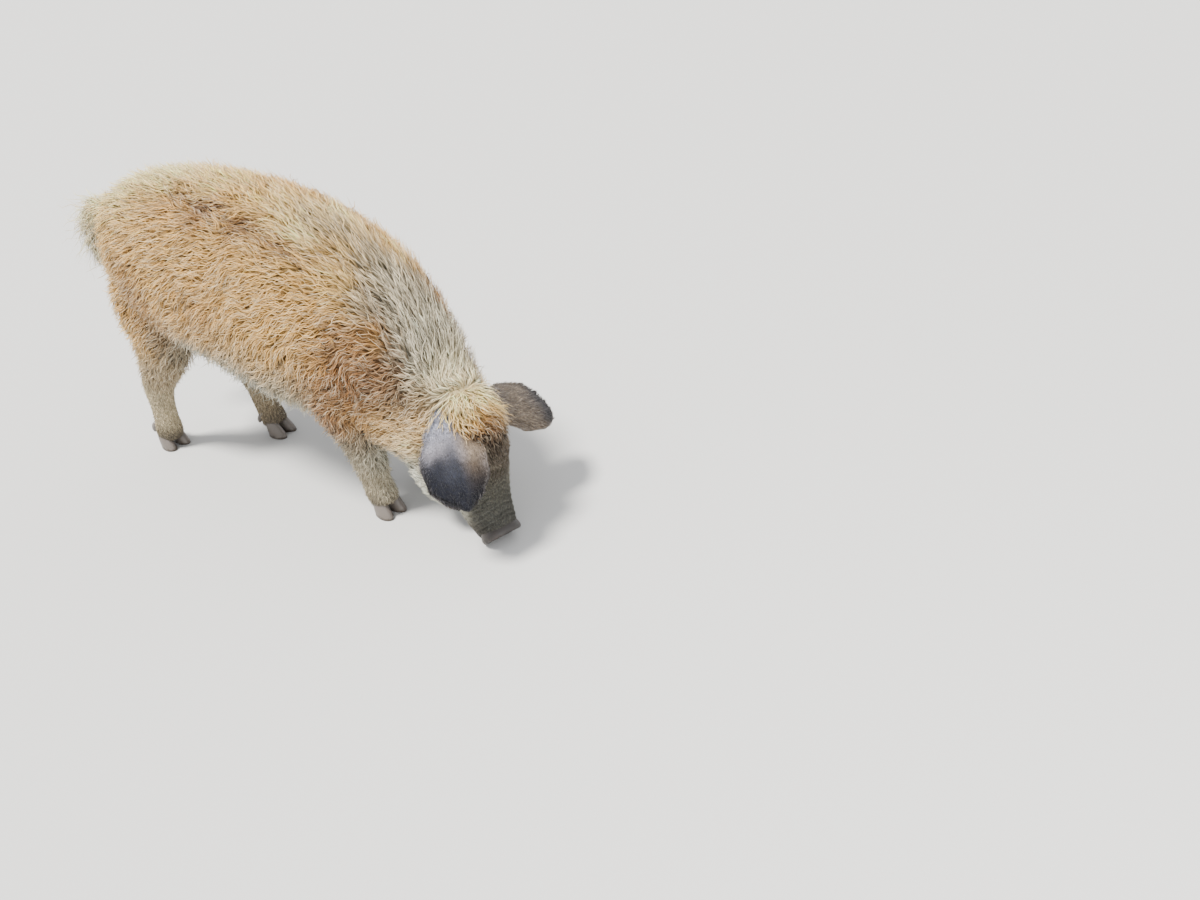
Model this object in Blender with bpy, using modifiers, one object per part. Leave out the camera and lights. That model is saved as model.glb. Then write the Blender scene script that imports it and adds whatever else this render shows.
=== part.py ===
"""A curly-coated sow at life size, rooting with its snout on the ground.

The flesh is lofted from oval sections and fused into one body, which takes a dense core of wool. Flat, tapered
locks grow out of the core and lie back along it. Thin cuts then part the body where its limbs are named. The
ears, tail, eyes and hooves are pieces of their own that meet the flesh face to face.

Metres, +X to the head, +Y to the animal's left, +Z up. Sections are written from a point under the tail end of
the back, and the whole animal is moved at the end, so that its origin is the bottom centre of its box.
"""

import math
import random
from collections import namedtuple

import bmesh
import bpy
from mathutils import Matrix, Vector
from mathutils.bvhtree import BVHTree

# Driving dimensions.
COAT_CORE = 0.012  # dense wool under the locks
GAP = 0.0003  # between pieces that touch
HIP_Y = 0.112  # sideways from the spine to a hind leg
SHOULDER_Y = 0.118  # sideways from the spine to a foreleg
HEAD_AT = Vector((1.090, -0.036, 0.285))  # middle of the skull, between the ears
HEAD_ALONG = Vector((0.510, -0.210, -0.83))  # from there towards the snout
EYE_RADIUS = 0.0135
HOOF_HEIGHT = 0.050
TOE_LENGTH = 0.064
TOE_WIDTH = 0.036
EAR_LENGTH = 0.250
EAR_WIDTH = 0.165
EAR_THICK = 0.007

# Details of the head, in its own frame.
EYE_SUNK = 0.55  # share of the eyeball's radius under the skin
LID_WIDE, LID_TALL, LID_THICK = 0.0155, 0.0122, 0.0044
DISC_AT = Vector((0.277, 0.0, -0.049))
DISC_WIDE, DISC_TALL, DISC_THICK = 0.0560, 0.0480, 0.020
DISC_TILT = math.radians(-8)
NOSTRIL_Y, NOSTRIL_Z = 0.0190, 0.004
NOSTRIL_HALF = (0.020, 0.0085, 0.0115)
MOUTH_BACK, MOUTH_FRONT = 0.120, 0.262
MOUTH_Z = (-0.084, -0.096)  # at the back and at the front
MOUTH_RISE = -0.006
MOUTH_OPEN, MOUTH_DEEP = 0.0022, 0.007
LIP_THICK = 0.0085

# The ear's outline, as shares of its length and of its half width, and how far each side curls, in degrees.
EAR_ROWS, EAR_COLUMNS = 9, 7
EAR_OUTLINE = ((0.0, 0.66), (0.22, 0.84), (0.50, 1.0), (0.72, 0.93), (0.87, 0.62), (0.96, 0.28), (1.0, 0.10))
EAR_CURL = ((0.0, 120), (0.18, 74), (0.40, 42), (0.75, 30), (1.0, 24))
EAR_RIPPLE = 0.012

LOCK_CLEAR = 0.008  # how far a lock keeps from the ears, eyes and tail

# How finely the flesh is made.
VOXEL = 0.008
SMOOTHING = 8
FLESH_FACES = 3250
FACE_WEIGHT = 0.983  # how readily the head loses detail, against 1 for the body
FOOT_WEIGHT = 0.992

# An oval section of a limb: its centre, its half width across, its half height, and its share of the wool.
Section = namedtuple("Section", "x y z wide tall wool")

TRUNK = (
    Section(-0.008, 0.000, 0.602, 0.026, 0.042, 0.6),
    Section(0.010, 0.000, 0.599, 0.060, 0.080, 0.8),
    Section(0.054, 0.000, 0.586, 0.101, 0.128, 1.0),
    Section(0.118, 0.000, 0.586, 0.141, 0.168, 1.0),
    Section(0.205, 0.000, 0.607, 0.180, 0.187, 1.0),
    Section(0.350, 0.000, 0.591, 0.209, 0.216, 1.0),
    Section(0.500, 0.000, 0.568, 0.220, 0.234, 1.0),
    Section(0.620, 0.000, 0.532, 0.219, 0.240, 1.0),
    Section(0.730, 0.000, 0.486, 0.208, 0.229, 1.0),
    Section(0.815, 0.000, 0.440, 0.188, 0.204, 1.0),
    Section(0.888, -0.003, 0.386, 0.164, 0.174, 1.0),
    Section(0.945, -0.010, 0.334, 0.143, 0.146, 1.0),
    Section(0.998, -0.020, 0.294, 0.125, 0.133, 0.9),
    Section(1.048, -0.028, 0.262, 0.108, 0.122, 0.8),
)

# The head in its own frame: x towards the snout, y to its left, z out of the forehead.
SKULL = (
    Section(-0.100, 0.0, -0.050, 0.070, 0.062, 0.7),
    Section(-0.045, 0.0, -0.020, 0.086, 0.106, 0.7),
    Section(0.025, 0.0, -0.014, 0.084, 0.120, 0.6),
    Section(0.080, 0.0, -0.028, 0.074, 0.110, 0.4),
    Section(0.130, 0.0, -0.045, 0.067, 0.095, 0.3),
    Section(0.175, 0.0, -0.056, 0.061, 0.080, 0.2),
    Section(0.215, 0.0, -0.059, 0.056, 0.067, 0.1),
    Section(0.250, 0.0, -0.057, 0.051, 0.055, 0.0),
    Section(0.272, 0.0, -0.054, 0.048, 0.048, 0.0),
)

# Swellings of the head: middle, half sizes. Cheekbone, jowl and brow are given for the left and mirrored.
CHEEKBONE = (Vector((0.060, 0.050, 0.000)), Vector((0.070, 0.031, 0.046)))
JOWL = (Vector((0.045, 0.064, -0.104)), Vector((0.120, 0.050, 0.074)))
BROW = (Vector((0.072, 0.044, 0.048)), Vector((0.036, 0.024, 0.022)))

# Legs, from inside the trunk down to the coronet. wide is across the animal, tall is fore and aft.
HIND_RIGHT = (
    Section(0.158, -0.085, 0.600, 0.058, 0.086, 1.0),
    Section(0.171, -0.108, 0.500, 0.068, 0.100, 1.0),
    Section(0.168, -HIP_Y, 0.405, 0.061, 0.084, 0.9),
    Section(0.134, -HIP_Y, 0.320, 0.046, 0.060, 0.7),
    Section(0.084, -0.108, 0.252, 0.037, 0.046, 0.5),
    Section(0.054, -0.104, 0.200, 0.032, 0.041, 0.4),
    Section(0.040, -0.100, 0.145, 0.029, 0.034, 0.3),
    Section(0.030, -0.097, 0.095, 0.030, 0.035, 0.3),
    Section(0.022, -0.095, 0.058, 0.034, 0.038, 0.2),
    Section(0.014, -0.094, 0.034, 0.033, 0.034, 0.1),
)
HIND_LEFT = (
    Section(0.156, 0.085, 0.600, 0.058, 0.090, 1.0),
    Section(0.172, 0.108, 0.500, 0.068, 0.102, 1.0),
    Section(0.174, HIP_Y, 0.405, 0.062, 0.092, 0.9),
    Section(0.178, HIP_Y, 0.310, 0.050, 0.074, 0.7),
    Section(0.182, 0.108, 0.245, 0.037, 0.050, 0.5),
    Section(0.193, 0.104, 0.200, 0.032, 0.041, 0.4),
    Section(0.220, 0.098, 0.145, 0.029, 0.034, 0.3),
    Section(0.243, 0.092, 0.095, 0.030, 0.035, 0.3),
    Section(0.262, 0.088, 0.058, 0.034, 0.038, 0.2),
    Section(0.274, 0.086, 0.034, 0.033, 0.034, 0.1),
)
FORE_RIGHT = (
    Section(0.785, -0.105, 0.470, 0.062, 0.100, 1.0),
    Section(0.795, -SHOULDER_Y, 0.370, 0.064, 0.084, 1.0),
    Section(0.812, -SHOULDER_Y, 0.290, 0.054, 0.062, 0.8),
    Section(0.826, -0.114, 0.225, 0.042, 0.050, 0.5),
    Section(0.832, -0.108, 0.165, 0.036, 0.042, 0.4),
    Section(0.832, -0.104, 0.115, 0.031, 0.036, 0.3),
    Section(0.834, -0.100, 0.085, 0.031, 0.036, 0.3),
    Section(0.840, -0.098, 0.055, 0.035, 0.038, 0.2),
    Section(0.845, -0.097, 0.034, 0.033, 0.034, 0.1),
)
FORE_LEFT = tuple(s._replace(x=s.x + 0.03 * (0.47 - s.z) / 0.436, y=-s.y) for s in FORE_RIGHT)
LEGS = {
    "leg_hind_right": HIND_RIGHT,
    "leg_hind_left": HIND_LEFT,
    "leg_front_right": FORE_RIGHT,
    "leg_front_left": FORE_LEFT,
}
TOE_TURN = {  # outward turn of each foot, in degrees
    "leg_hind_right": -8,
    "leg_hind_left": 6,
    "leg_front_right": -10,
    "leg_front_left": 8,
}

TAIL = (
    Section(0.020, 0.000, 0.668, 0.028, 0.028, 0.3),
    Section(-0.040, 0.000, 0.684, 0.023, 0.023, 0.3),
    Section(-0.098, 0.002, 0.684, 0.018, 0.018, 0.3),
    Section(-0.144, 0.006, 0.658, 0.015, 0.015, 0.3),
    Section(-0.164, 0.009, 0.612, 0.013, 0.013, 0.3),
    Section(-0.166, 0.010, 0.564, 0.011, 0.011, 0.3),
    Section(-0.156, 0.008, 0.516, 0.008, 0.008, 0.2),
)

# Each thin cut: its middle, the way it faces, and its half sizes across and along.
Cut = namedtuple("Cut", "at faces wide tall")
CUTS = (
    Cut(Vector((0.930, -0.006, 0.385)), Vector((0.90, 0.0, -0.43)), 0.30, 0.235),
    Cut(Vector((1.052, -0.028, 0.292)), Vector((0.62, -0.14, -0.77)), 0.30, 0.235),
    Cut(Vector((0.125, 0.0, 0.335)), Vector((0.20, 0.0, 1.0)), 0.30, 0.235),
    Cut(Vector((0.845, 0.0, 0.184)), Vector((0.33, 0.0, 1.0)), 0.30, 0.108),
)
# A point that each part of the body holds.
PART_AT = {
    "torso": Vector((0.45, 0.0, 0.55)),
    "neck": Vector((0.98, -0.01, 0.34)),
    "head": Vector((1.13, -0.06, 0.19)),
    "leg_hind_right": Vector((0.046, -0.102, 0.17)),
    "leg_hind_left": Vector((0.206, 0.10, 0.17)),
    "leg_front_right": Vector((0.832, -0.105, 0.13)),
    "leg_front_left": Vector((0.855, 0.105, 0.13)),
}

# A kind of lock: its length, its width and thickness at the widest, and how far it bends sideways in degrees.
Lock = namedtuple("Lock", "length wide thick bend")
FLANK = Lock(0.186, 0.112, 0.0100, 40)
CREST = Lock(0.192, 0.094, 0.0095, 12)
BELLY = Lock(0.160, 0.104, 0.0090, 20)
THIGH = Lock(0.118, 0.088, 0.0080, 22)
CHEEK = Lock(0.074, 0.050, 0.0060, 16)
FORELOCK = Lock(0.104, 0.038, 0.0070, 12)
BRUSH = Lock(0.082, 0.022, 0.0085, 0)
# The stations of a lock: share of its length and of its width, and how high its under side and its ridge lie
# over the core, in thicknesses. Past its sunk root it stays clear of the core, to a point at TIP_LIFT.
STATIONS = ((0.00, 0.50, -1.60, -0.70), (0.27, 0.96, 0.45, 1.45), (0.64, 1.00, 0.62, 1.62))
TIP_LIFT = 1.45
# The same for a lock of the tail: share of its length, of its width, and how far it has spread from the tail.
BRUSH_STATIONS = ((0.00, 0.7, 0.00), (0.35, 1.0, 0.10), (0.70, 0.75, 0.20), (1.00, 0.12, 0.26))
LAST_ROOT = 1.05  # furthest forward that a lock of the neck grows
NECK_PITCH = 0.72  # share of the trunk's spacing
ROW_PITCH = 0.130  # between rings of locks along the trunk
ROW_FILL = 0.90  # share of each ring that its locks take up
LOCK_SEED = 11

COLOURS = {
    "coat": (0.55, 0.33, 0.16),
    "ear": (0.16, 0.15, 0.16),
    "tail": (0.72, 0.62, 0.44),
    "hoof": (0.20, 0.18, 0.16),
    "eye": (0.03, 0.02, 0.015),
}
ROUGHNESS = {"coat": 0.85, "ear": 0.7, "tail": 0.85, "hoof": 0.5, "eye": 0.1}


def head_frame():
    """The matrix from the head's own frame to the animal's."""
    along = HEAD_ALONG.normalized()
    left = Vector((0, 0, 1)).cross(along).normalized()
    out = along.cross(left)
    turn = Matrix((along, left, out)).transposed().to_4x4()
    return Matrix.Translation(HEAD_AT) @ turn


def material(name):
    """The Principled material of one kind of surface."""
    made = bpy.data.materials.new(name)
    made.use_nodes = True
    shader = made.node_tree.nodes["Principled BSDF"]
    shader.inputs["Base Color"].default_value = (*COLOURS[name], 1.0)
    shader.inputs["Roughness"].default_value = ROUGHNESS[name]
    shader.inputs["Metallic"].default_value = 0.0
    return made


def add_object(name, mesh, collection):
    """A new object with this mesh."""
    made = bpy.data.objects.new(name, mesh)
    collection.objects.link(made)
    return made


def from_bmesh(name, bm, collection):
    """A new object with the shape of bm, which is freed."""
    bmesh.ops.recalc_face_normals(bm, faces=bm.faces)
    mesh = bpy.data.meshes.new(name)
    bm.to_mesh(mesh)
    bm.free()
    return add_object(name, mesh, collection)


def between(points, share):
    """Catmull-Rom value between the middle two of four values."""
    a, b, c, d = points
    line = 2 * b + (c - a) * share
    curve = (2 * a - 5 * b + 4 * c - d) * share**2 + (3 * b - a - 3 * c + d) * share**3
    return (line + curve) / 2


def smoothed(sections, steps):
    """The sections with more of them between, on one smooth curve."""
    last = len(sections) - 1
    made = []
    for i in range(last):
        near = [sections[min(max(i + k, 0), last)] for k in (-1, 0, 1, 2)]
        for k in range(steps):
            values = [between(four, k / steps) for four in zip(*near)]
            made.append(Section(*values))
    made.append(sections[-1])
    return made


def frames(sections, side, level=False):
    """The centre, direction, side and out vectors of each section."""
    points = [Vector(s[:3]) for s in sections]
    made = []
    for i, point in enumerate(points):
        along = (points[min(i + 1, len(points) - 1)] - points[max(i - 1, 0)]).normalized()
        if level:
            along = Vector((0, 0, 1))
        across = (side - along * side.dot(along)).normalized()
        made.append((point, along, across, along.cross(across)))
    return made


def skin_rings(bm, rings):
    """Joins rings of vertices into one closed tube."""
    sides = len(rings[0])
    for a, b in zip(rings, rings[1:]):
        for k in range(sides):
            after = (k + 1) % sides
            bm.faces.new((a[k], a[after], b[after], b[k]))
    bm.faces.new(rings[0])
    bm.faces.new(rings[-1])


def loft(name, sections, side, collection, steps=3, sides=28, square=2.25, frame=None, level=False):
    """A closed tube of oval sections. square over 2 makes them fuller than an ellipse."""
    bm = bmesh.new()
    sections = smoothed(sections, steps)
    rings = []
    for section, (point, _, across, out) in zip(sections, frames(sections, side, level)):
        wide = section.wide + COAT_CORE * section.wool
        tall = section.tall + COAT_CORE * section.wool
        ring = []
        for k in range(sides):
            turn = math.tau * k / sides
            c, s = math.cos(turn), math.sin(turn)
            x = math.copysign(abs(c) ** (2 / square), c) * wide
            z = math.copysign(abs(s) ** (2 / square), s) * tall
            ring.append(bm.verts.new(point + across * x + out * z))
        rings.append(ring)
    skin_rings(bm, rings)
    if frame:
        bm.transform(frame)
    return from_bmesh(name, bm, collection)


def swelling(name, middle, half, collection, frame):
    """An ellipsoid on each side of the head."""
    made = []
    for side in (-1, 1):
        bm = bmesh.new()
        bmesh.ops.create_uvsphere(bm, u_segments=20, v_segments=12, radius=1.0)
        at = Matrix.Translation((middle.x, middle.y * side, middle.z))
        bm.transform(frame @ at @ Matrix.Diagonal((*half, 1.0)))
        made.append(from_bmesh(name, bm, collection))
    return made


def remove(objects):
    """Takes helper objects out of the scene."""
    for obj in list(objects):
        bpy.data.objects.remove(obj)


def applied(obj):
    """Turns an object's modifiers into its mesh."""
    graph = bpy.context.evaluated_depsgraph_get()
    mesh = bpy.data.meshes.new_from_object(obj.evaluated_get(graph))
    obj.modifiers.clear()
    obj.data = mesh
    return obj


def joined(objects, collection, name):
    """One object that holds all these closed shapes, still overlapping."""
    bm = bmesh.new()
    for obj in objects:
        bm.from_mesh(obj.data)
    remove(objects)
    return from_bmesh(name, bm, collection)


def boolean(obj, operand, operation, solver="EXACT"):
    """One Boolean of obj with an object or a collection, applied."""
    change = obj.modifiers.new(operation.lower(), "BOOLEAN")
    change.operation = operation
    change.solver = solver
    if isinstance(operand, bpy.types.Collection):
        change.operand_type = "COLLECTION"
        change.collection = operand
    else:
        change.object = operand
    return applied(obj)


def inflated(obj, by, collection):
    """A copy of obj whose faces all stand out by this much."""
    bm = bmesh.new()
    bm.from_mesh(obj.data)
    bm.normal_update()
    moves = [(v, v.normal * (by * min(v.calc_shell_factor(), 2.0))) for v in bm.verts]
    for vert, move in moves:
        vert.co += move
    mesh = bpy.data.meshes.new(obj.name + "_clear")
    bm.to_mesh(mesh)
    bm.free()
    return add_object(obj.name + "_clear", mesh, collection)


def make_flesh(collection):
    """The whole animal as one smooth body, with the core of its wool."""
    frame = head_frame()
    sideways = Vector((0, 1, 0))
    pieces = [loft("trunk", TRUNK, sideways, collection, sides=36)]
    pieces.append(loft("skull", SKULL, sideways, collection, frame=frame))
    for name, sections in LEGS.items():
        pieces.append(loft(name, sections, sideways, collection, sides=24, square=2.1))
    for middle, half in (CHEEKBONE, JOWL, BROW):
        pieces += swelling("swelling", middle, half, collection, frame)
    flesh = joined(pieces, collection, "flesh")
    fuse = flesh.modifiers.new("fuse", "REMESH")
    fuse.mode = "VOXEL"
    fuse.voxel_size = VOXEL
    soften = flesh.modifiers.new("soften", "SMOOTH")
    soften.factor = 0.5
    soften.iterations = SMOOTHING
    return applied(flesh)


def thin_out(flesh):
    """Fewer faces for the body, and more of them kept on the head and the feet."""
    group = flesh.vertex_groups.new(name="plain")
    neck = HEAD_AT - HEAD_ALONG.normalized() * 0.06
    for vert in flesh.data.vertices:
        on_head = vert.co.x > 0.93 and (vert.co - neck).dot(HEAD_ALONG) > 0
        weight = FACE_WEIGHT if on_head else FOOT_WEIGHT if vert.co.z < 0.16 else 1.0
        group.add([vert.index], weight, "REPLACE")
    fewer = flesh.modifiers.new("fewer", "DECIMATE")
    fewer.vertex_group = group.name
    fewer.vertex_group_factor = 1.0
    fewer.ratio = FLESH_FACES / (2 * len(flesh.data.polygons))
    applied(flesh)
    flesh.vertex_groups.clear()
    return flesh


def surface_of(obj):
    """A tree of an object's faces, to find points and normals on it."""
    corners = [v.co.copy() for v in obj.data.vertices]
    return BVHTree.FromPolygons(corners, [tuple(p.vertices) for p in obj.data.polygons])


def lie_at(point):
    """Which way the coat lies near a point, before it is laid on the surface."""
    on_poll = (point - HEAD_AT).dot(HEAD_ALONG.normalized()) > -0.07 and point.z > 0.2
    if on_poll and (point - HEAD_AT).dot(Vector((0.75, -0.35, 0.55))) > 0.03:
        return HEAD_ALONG.copy()
    if point.x > 1.0:
        return Vector((-0.85, 0.0, -0.45))
    down = 0.75 if point.x < 0.72 else 0.75 - 0.70 * min((point.x - 0.72) / 0.15, 1)
    return Vector((-1.0, 0.0, -down))


def laid(way, normal):
    """A direction pressed flat onto a surface."""
    flat = way - normal * way.dot(normal)
    return flat.normalized() if flat.length > 0.05 else Vector((0, 0, -1))


def wave_at(point):
    """How the coat waves here, from -1 to 1, so that neighbouring locks bend alike."""
    return math.sin(13.0 * point.x + 9.0 * point.z + 3.0 * point.y) * math.cos(8.0 * point.z - 5.0 * point.x + 1.0)


def lock_on(bm, tree, root, normal, way, kind, draw):
    """One flat, tapered lock that grows from root and bends along the surface."""
    length = kind.length * draw.uniform(0.88, 1.10)
    wide = kind.wide * draw.uniform(0.90, 1.04)
    thick = kind.thick * draw.uniform(0.92, 1.12)
    bend = math.radians(kind.bend * (1.3 * wave_at(root) + draw.uniform(-0.35, 0.35)))
    way = laid(Matrix.Rotation(math.radians(draw.uniform(-5, 5)) - bend * 0.4, 3, normal) @ way, normal)
    point = root - way * length * 0.16
    rings = []
    shares = [station[0] for station in STATIONS] + [1.0]
    for k, (share, broad, edge_height, ridge_height) in enumerate(STATIONS):
        spot, normal = tree.find_nearest(point)[:2]
        way = laid(way, normal)
        half = normal.cross(way) * (wide / 2 * broad)
        ring = [bm.verts.new(spot + normal * thick * ridge_height)]
        for side in (-1, 0, 1):
            edge, facing = tree.find_nearest(spot + half * side)[:2]
            ring.append(bm.verts.new(edge + (facing + normal).normalized() * thick * edge_height))
        rings.append(ring)
        step = shares[k + 1] - share
        way = Matrix.Rotation(bend * step, 3, normal) @ way
        point = spot + way * length * step
    spot, normal = tree.find_nearest(point)[:2]
    tip = bm.verts.new(spot + normal * thick * TIP_LIFT)
    faces = [bm.faces.new(rings[0])]
    for a, b in zip(rings, rings[1:]):
        for k in range(4):
            after = (k + 1) % 4
            faces.append(bm.faces.new((a[k], a[after], b[after], b[k])))
    last = rings[-1]
    faces += [bm.faces.new((last[k], last[(k + 1) % 4], tip)) for k in range(4)]
    bmesh.ops.triangulate(bm, faces=faces)


def add_lock(tree, spot, normal, way, kind, draw, collection, keep_off):
    """Adds one lock as an object, unless it would touch something that it must keep clear of."""
    bm = bmesh.new()
    lock_on(bm, tree, spot, normal, laid(way, normal), kind, draw)
    probes = [vert.co for vert in bm.verts]
    probes += [(edge.verts[0].co + edge.verts[1].co) / 2 for edge in bm.edges]
    probes += [face.calc_center_median() for face in bm.faces]
    near = any(other.find_nearest(probe, LOCK_CLEAR)[0] for other in keep_off for probe in probes)
    low = min(probe.z for probe in probes) < 0.02
    if near or low:
        bm.free()
        return
    from_bmesh("lock", bm, collection)


def trunk_locks(tree, keep_off, collection, draw):
    """Rings of locks round the trunk and neck, each ring set between the locks of the last."""
    path = smoothed(TRUNK, 4)
    placed = frames(path, Vector((0, 1, 0)))
    travelled = 0.0
    due = 0.015
    ring = 0
    for i in range(1, len(placed)):
        (before, *_), (point, along, across, out) = placed[i - 1], placed[i]
        travelled += (point - before).length
        if travelled < due:
            continue
        due += ROW_PITCH * (NECK_PITCH if point.x > 0.78 else 1)
        ring += 1
        section = path[i]
        wide, tall = section.wide + COAT_CORE, section.tall + COAT_CORE
        girth = math.pi * (3 * (wide + tall) - math.sqrt((3 * wide + tall) * (wide + 3 * tall)))
        kind = FLANK
        count = max(5, round(girth * ROW_FILL / kind.wide))
        for k in range(count):
            turn = math.tau * (k + 0.5 * (ring % 2) + draw.uniform(-0.12, 0.12)) / count
            ray = across * math.cos(turn) + out * math.sin(turn)
            hit, normal, _, reach = tree.ray_cast(point, ray)
            if hit is None or reach > 1.2 * max(wide, tall) or hit.x > LAST_ROOT:
                continue
            kind = CREST if math.sin(turn) > 0.82 else BELLY if math.sin(turn) < -0.62 else FLANK
            add_lock(tree, hit, normal, lie_at(hit), kind, draw, collection, keep_off)


def limb_locks(tree, keep_off, collection, draw):
    """A few shorter locks round each thigh and upper arm, down to the bare shin."""
    for name, sections in LEGS.items():
        heights = (0.405,) if "hind" in name else (0.275,)
        for ring, height in enumerate(heights):
            for upper, lower in zip(sections, sections[1:]):
                if lower.z <= height < upper.z:
                    break
            share = (upper.z - height) / (upper.z - lower.z)
            point = Vector(upper[:3]).lerp(Vector(lower[:3]), share)
            reach_most = 1.5 * (upper.tall + COAT_CORE)
            for k in range(4):
                turn = math.tau * (k + 0.5 * (ring % 2)) / 4
                ray = Vector((math.cos(turn), math.sin(turn), 0.0))
                hit, normal, _, reach = tree.ray_cast(point, ray)
                if hit is None or reach > reach_most:
                    continue
                add_lock(tree, hit, normal, Vector((-0.25, 0, -1)), THIGH, draw, collection, keep_off)


def head_locks(tree, keep_off, collection, draw):
    """The forelock between the ears, and the fringe along the jaws."""
    frame = head_frame()
    for x in (-0.080, -0.015):
        for y in (-0.030, 0.000, 0.030):
            hit, normal = on_skull(tree, Vector((x, y, -0.02)), Vector((0, y * 2, 1)))
            add_lock(tree, hit, normal, HEAD_ALONG, FORELOCK, draw, collection, keep_off)
    for side in (-1, 1):
        for x, z in ((0.075, -0.35), (0.090, -0.95)):
            hit, normal = on_skull(tree, Vector((x, 0.02 * side, -0.05)), Vector((0, side, z)))
            add_lock(tree, hit, normal, frame.to_3x3() @ Vector((-1, 0, -0.35)), CHEEK, draw, collection, keep_off)


def tail_locks(collection, draw):
    """The brush of long hair that fans out round the end of the tail."""
    placed = frames(smoothed(TAIL, 3), Vector((0, 1, 0)))
    for ring, i in enumerate((9, 12, 15)):
        point, along, across, out = placed[i]
        for k in range(3):
            turn = math.tau * (k + 0.5 * (ring % 2) + draw.uniform(-0.06, 0.06)) / 3
            ray = across * math.cos(turn) + out * math.sin(turn)
            length = BRUSH.length * draw.uniform(0.85, 1.10)
            rows = []
            for share, broad, away in BRUSH_STATIONS:
                at = point + along * length * (share - 0.12 * share * share) + ray * length * away
                at.z -= length * 0.20 * share * share
                rows.append(Section(*at, BRUSH.wide / 2 * broad, BRUSH.thick / 2 * broad, 0))
            loft("lock", rows, along.cross(ray), collection, steps=1, sides=4, square=2.0)


def cutting_plate(cut, collection):
    """A plate as thick as the gap, which parts the body."""
    facing = cut.faces.normalized()
    across = Vector((0, 0, 1)).cross(facing)
    across = across.normalized() if across.length > 0.3 else Vector((0, 1, 0))
    turn = Matrix((facing, across, facing.cross(across))).transposed().to_4x4()
    bm = bmesh.new()
    bmesh.ops.create_cube(bm, size=2.0)
    bm.transform(Matrix.Translation(cut.at) @ turn @ Matrix.Diagonal((GAP / 2, cut.wide, cut.tall, 1)))
    return from_bmesh("plate", bm, collection)


def ball(name, middle, half, collection, segments=10, rings=6, frame=None):
    """An ellipsoid."""
    bm = bmesh.new()
    bmesh.ops.create_uvsphere(bm, u_segments=segments, v_segments=rings, radius=1.0)
    bm.transform((frame or Matrix()) @ Matrix.Translation(middle) @ Matrix.Diagonal((*half, 1.0)))
    return from_bmesh(name, bm, collection)


def snout_disc(collection):
    """The tough disc at the end of the snout."""
    bm = bmesh.new()
    bmesh.ops.create_cone(
        bm, cap_ends=True, segments=24, radius1=1.0, radius2=0.96, depth=DISC_THICK,
        matrix=Matrix.Rotation(math.pi / 2, 4, "Y"))
    rim = [e for e in bm.edges if len(e.link_faces) == 2 and e.calc_face_angle() > 1.0]
    bmesh.ops.transform(bm, matrix=Matrix.Diagonal((1, DISC_WIDE, DISC_TALL, 1)), verts=bm.verts)
    bmesh.ops.bevel(
        bm, geom=rim, offset=0.005, segments=1, profile=0.5, affect="EDGES", material=-1)
    tilt = Matrix.Rotation(DISC_TILT, 4, "Y")
    bm.transform(head_frame() @ Matrix.Translation(DISC_AT) @ tilt)
    return from_bmesh("disc", bm, collection)


def on_skull(tree, inside, towards):
    """Where a line from a point in the head's frame leaves the flesh, and the surface's normal there."""
    frame = head_frame()
    start = frame @ inside
    return tree.ray_cast(start, (frame.to_3x3() @ towards).normalized())[:2]


def eye_frame(tree, side):
    """A frame on the eyeball: x to the snout along the face, y up the face, z out."""
    hit, normal = on_skull(tree, Vector((0.098, 0.03 * side, 0.020)), Vector((0.15, side, 0.42)))
    along = HEAD_ALONG.normalized()
    along = (along - normal * along.dot(normal)).normalized()
    turn = Matrix((along, normal.cross(along), normal)).transposed().to_4x4()
    return Matrix.Translation(hit - normal * EYE_RADIUS * EYE_SUNK) @ turn


def eyelids(frame, collection):
    """An upper and a lower fold of skin over the eyeball."""
    made = []
    for up in (-1, 1):
        arc = []
        for k in range(6):
            turn = math.pi * k / 5
            x, y = math.cos(turn) * LID_WIDE, math.sin(turn) * LID_TALL * up
            thick = LID_THICK * (0.7 + 0.3 * math.sin(turn))
            z = EYE_RADIUS * (EYE_SUNK - 0.05 + 0.30 * math.sin(turn))
            arc.append(Section(x, y, z, thick, thick, 0))
        lid = loft("lid", arc, Vector((0, 0, 1)), collection, steps=1, sides=5, frame=frame)
        made.append(lid)
    return made


def mouth_height(x):
    """How far under the head's own axis the mouth lies, at this distance along it."""
    share = (x - MOUTH_BACK) / (MOUTH_FRONT - MOUTH_BACK)
    return MOUTH_Z[0] + (MOUTH_Z[1] - MOUTH_Z[0]) * share + MOUTH_RISE * math.sin(math.pi * share)


def lips(tree, collection):
    """A roll of flesh over and under the line of the mouth, on each side."""
    made = []
    for side in (-1, 1):
        for up in (-1, 1):
            roll = []
            for k in range(5):
                x = MOUTH_BACK + 0.006 + (MOUTH_FRONT - MOUTH_BACK - 0.010) * k / 4
                inside = Vector((x, 0.0, mouth_height(x) + LIP_THICK * 0.85 * up))
                hit, normal = on_skull(tree, inside, Vector((0, side, 0)))
                thick = LIP_THICK * (0.40 + 0.60 * math.sin(math.pi * k / 4))
                deep = thick * (1.15 - 0.60 * math.sin(math.pi * k / 4))
                roll.append(Section(*(hit - normal * deep), thick, thick, 0))
            made.append(loft("lip", roll, Vector((0, 0, 1)), collection, steps=1, sides=6))
    return made


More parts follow.
